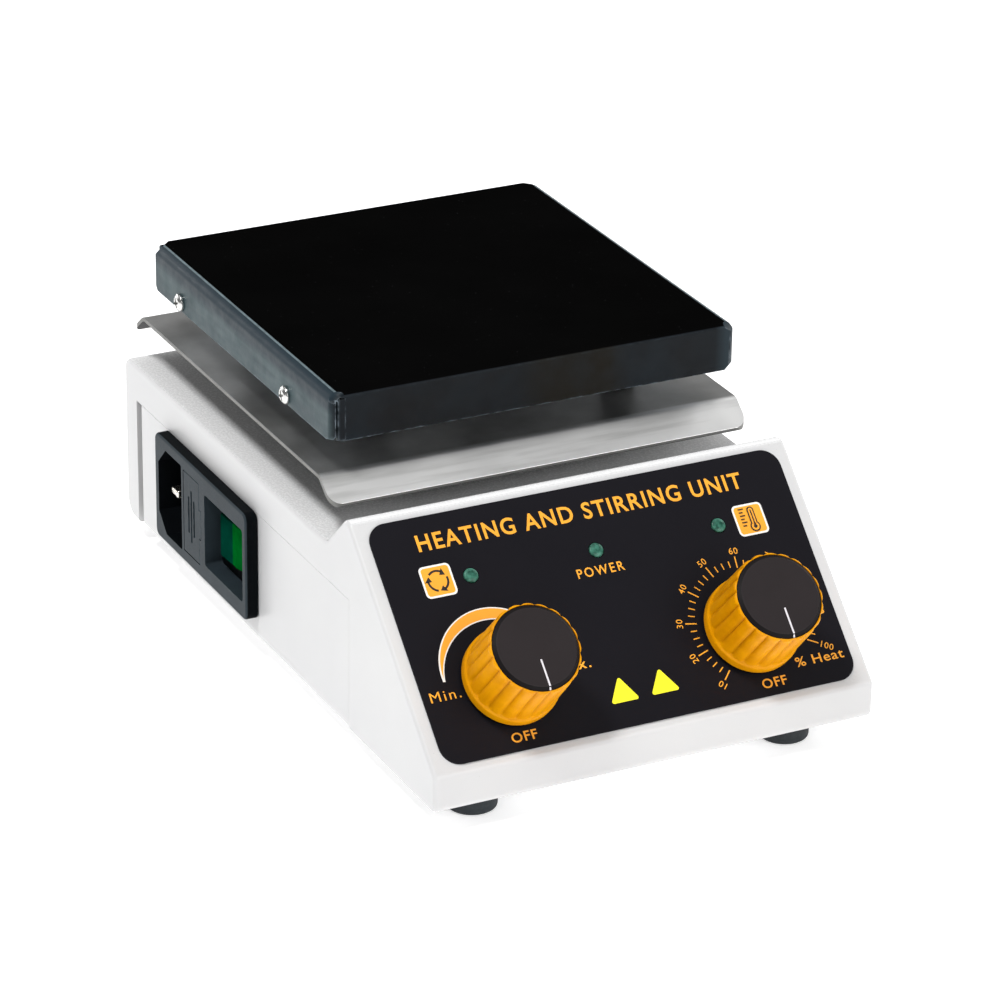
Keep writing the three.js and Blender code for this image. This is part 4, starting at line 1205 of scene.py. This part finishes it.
KEPT = {
    "base_tray": WHITE,
    "speed_control": CONTROL, "heat_control": CONTROL,
    "speed_control_nut": STEEL, "heat_control_nut": STEEL,
    "speed_control_shaft": ALLOY, "heat_control_shaft": ALLOY,
    "fuse": GLASS,
    "heating_plate": ALLOY, "heater_element": WINDING, "insulation_pad": FIBRE, "plate_tray": TRAY,
    "motor_bracket": TRAY, "motor_body": STEEL, "motor_shaft": STEEL,
    "magnet_holder": HOLDER, "magnet_1": MAGNET, "magnet_2": MAGNET,
    "control_board": BOARD,
}
KEPT.update({f"pillar_screw_{number}": STEEL for number in range(1, 5)})
for node, finish in KEPT.items():
    slots = frame["nodes"][node].data.materials
    slots.clear()
    slots.append(finish)

# ---- Camera and stage ----


def camera():
    data = bpy.data.cameras.new("camera")
    data.lens = 165.7
    data.sensor_width = 36
    data.clip_start = 0.05
    azimuth, elevation, roll = (math.radians(a) for a in (-26.869, 24.543, 0.815))
    target = HOUSE @ Vector((-0.3, 85.84, 40.91))
    distance = 1.16647  # in metres
    back = Vector((
        math.sin(azimuth) * math.cos(elevation),
        -math.cos(azimuth) * math.cos(elevation),
        math.sin(elevation),
    ))
    eye = in_scene("camera", data)
    aim = (-back).to_track_quat("-Z", "Y").to_matrix().to_4x4()
    eye.matrix_world = Matrix.Translation(target + back * distance) @ aim @ turned(roll)
    bpy.context.scene.camera = eye


def floor():
    """A pale floor that glows a little, so that it stays even and white."""
    bm = bmesh.new()
    bmesh.ops.create_grid(bm, x_segments=8, y_segments=8, size=6)
    mesh = mesh_of(bm, "floor")
    thing = in_scene("floor", mesh)
    m = Nodes("floor", 0.9, specular=0.1, Emission_Color=(1, 1, 1, 1), Emission_Strength=0.46)
    m.colour(m.mix(m.noise(3, 2), srgb(244, 244, 244), srgb(247, 247, 247)))
    mesh.materials.append(m.material)


def lamp(name, size, power, place, aim=(0, 0, 0.05)):
    """A soft light. Sizes and places are in metres, in the row's frame."""
    data = bpy.data.lights.new(name, "AREA")
    data.shape = "RECTANGLE"
    data.size, data.size_y = size
    data.energy = power
    thing = in_scene(name, data)
    thing.location = place
    thing.rotation_mode = "QUATERNION"
    thing.rotation_quaternion = (Vector(aim) - Vector(place)).to_track_quat("-Z", "Y")


def studio():
    camera()
    floor()
    lamp("key", (0.28, 0.28), 15, (-0.64, -0.19, 1.41))
    lamp("front", (1.4, 0.8), 11, (0.4, -1.5, 0.75))
    lamp("rim", (0.8, 0.5), 1.4, (-0.9, 1.1, 0.45))
    lamp("back", (1.0, 0.16), 2.5, (-0.25, 1.35, 0.26), (0, 0.05, 0.05))
    lamp("right", (0.6, 0.9), 5, (1.15, 0.25, 0.66))
    lamp("top", (1.6, 1.6), 6, (0.1, 0.3, 1.7))
    world = bpy.data.worlds.new("studio")
    world.use_nodes = True
    sky = world.node_tree.nodes["Background"]
    sky.inputs["Color"].default_value = (1, 1, 1, 1)
    sky.inputs["Strength"].default_value = 0.2
    bpy.context.scene.world = world
    bpy.context.scene.view_settings.view_transform = "Standard"


studio()
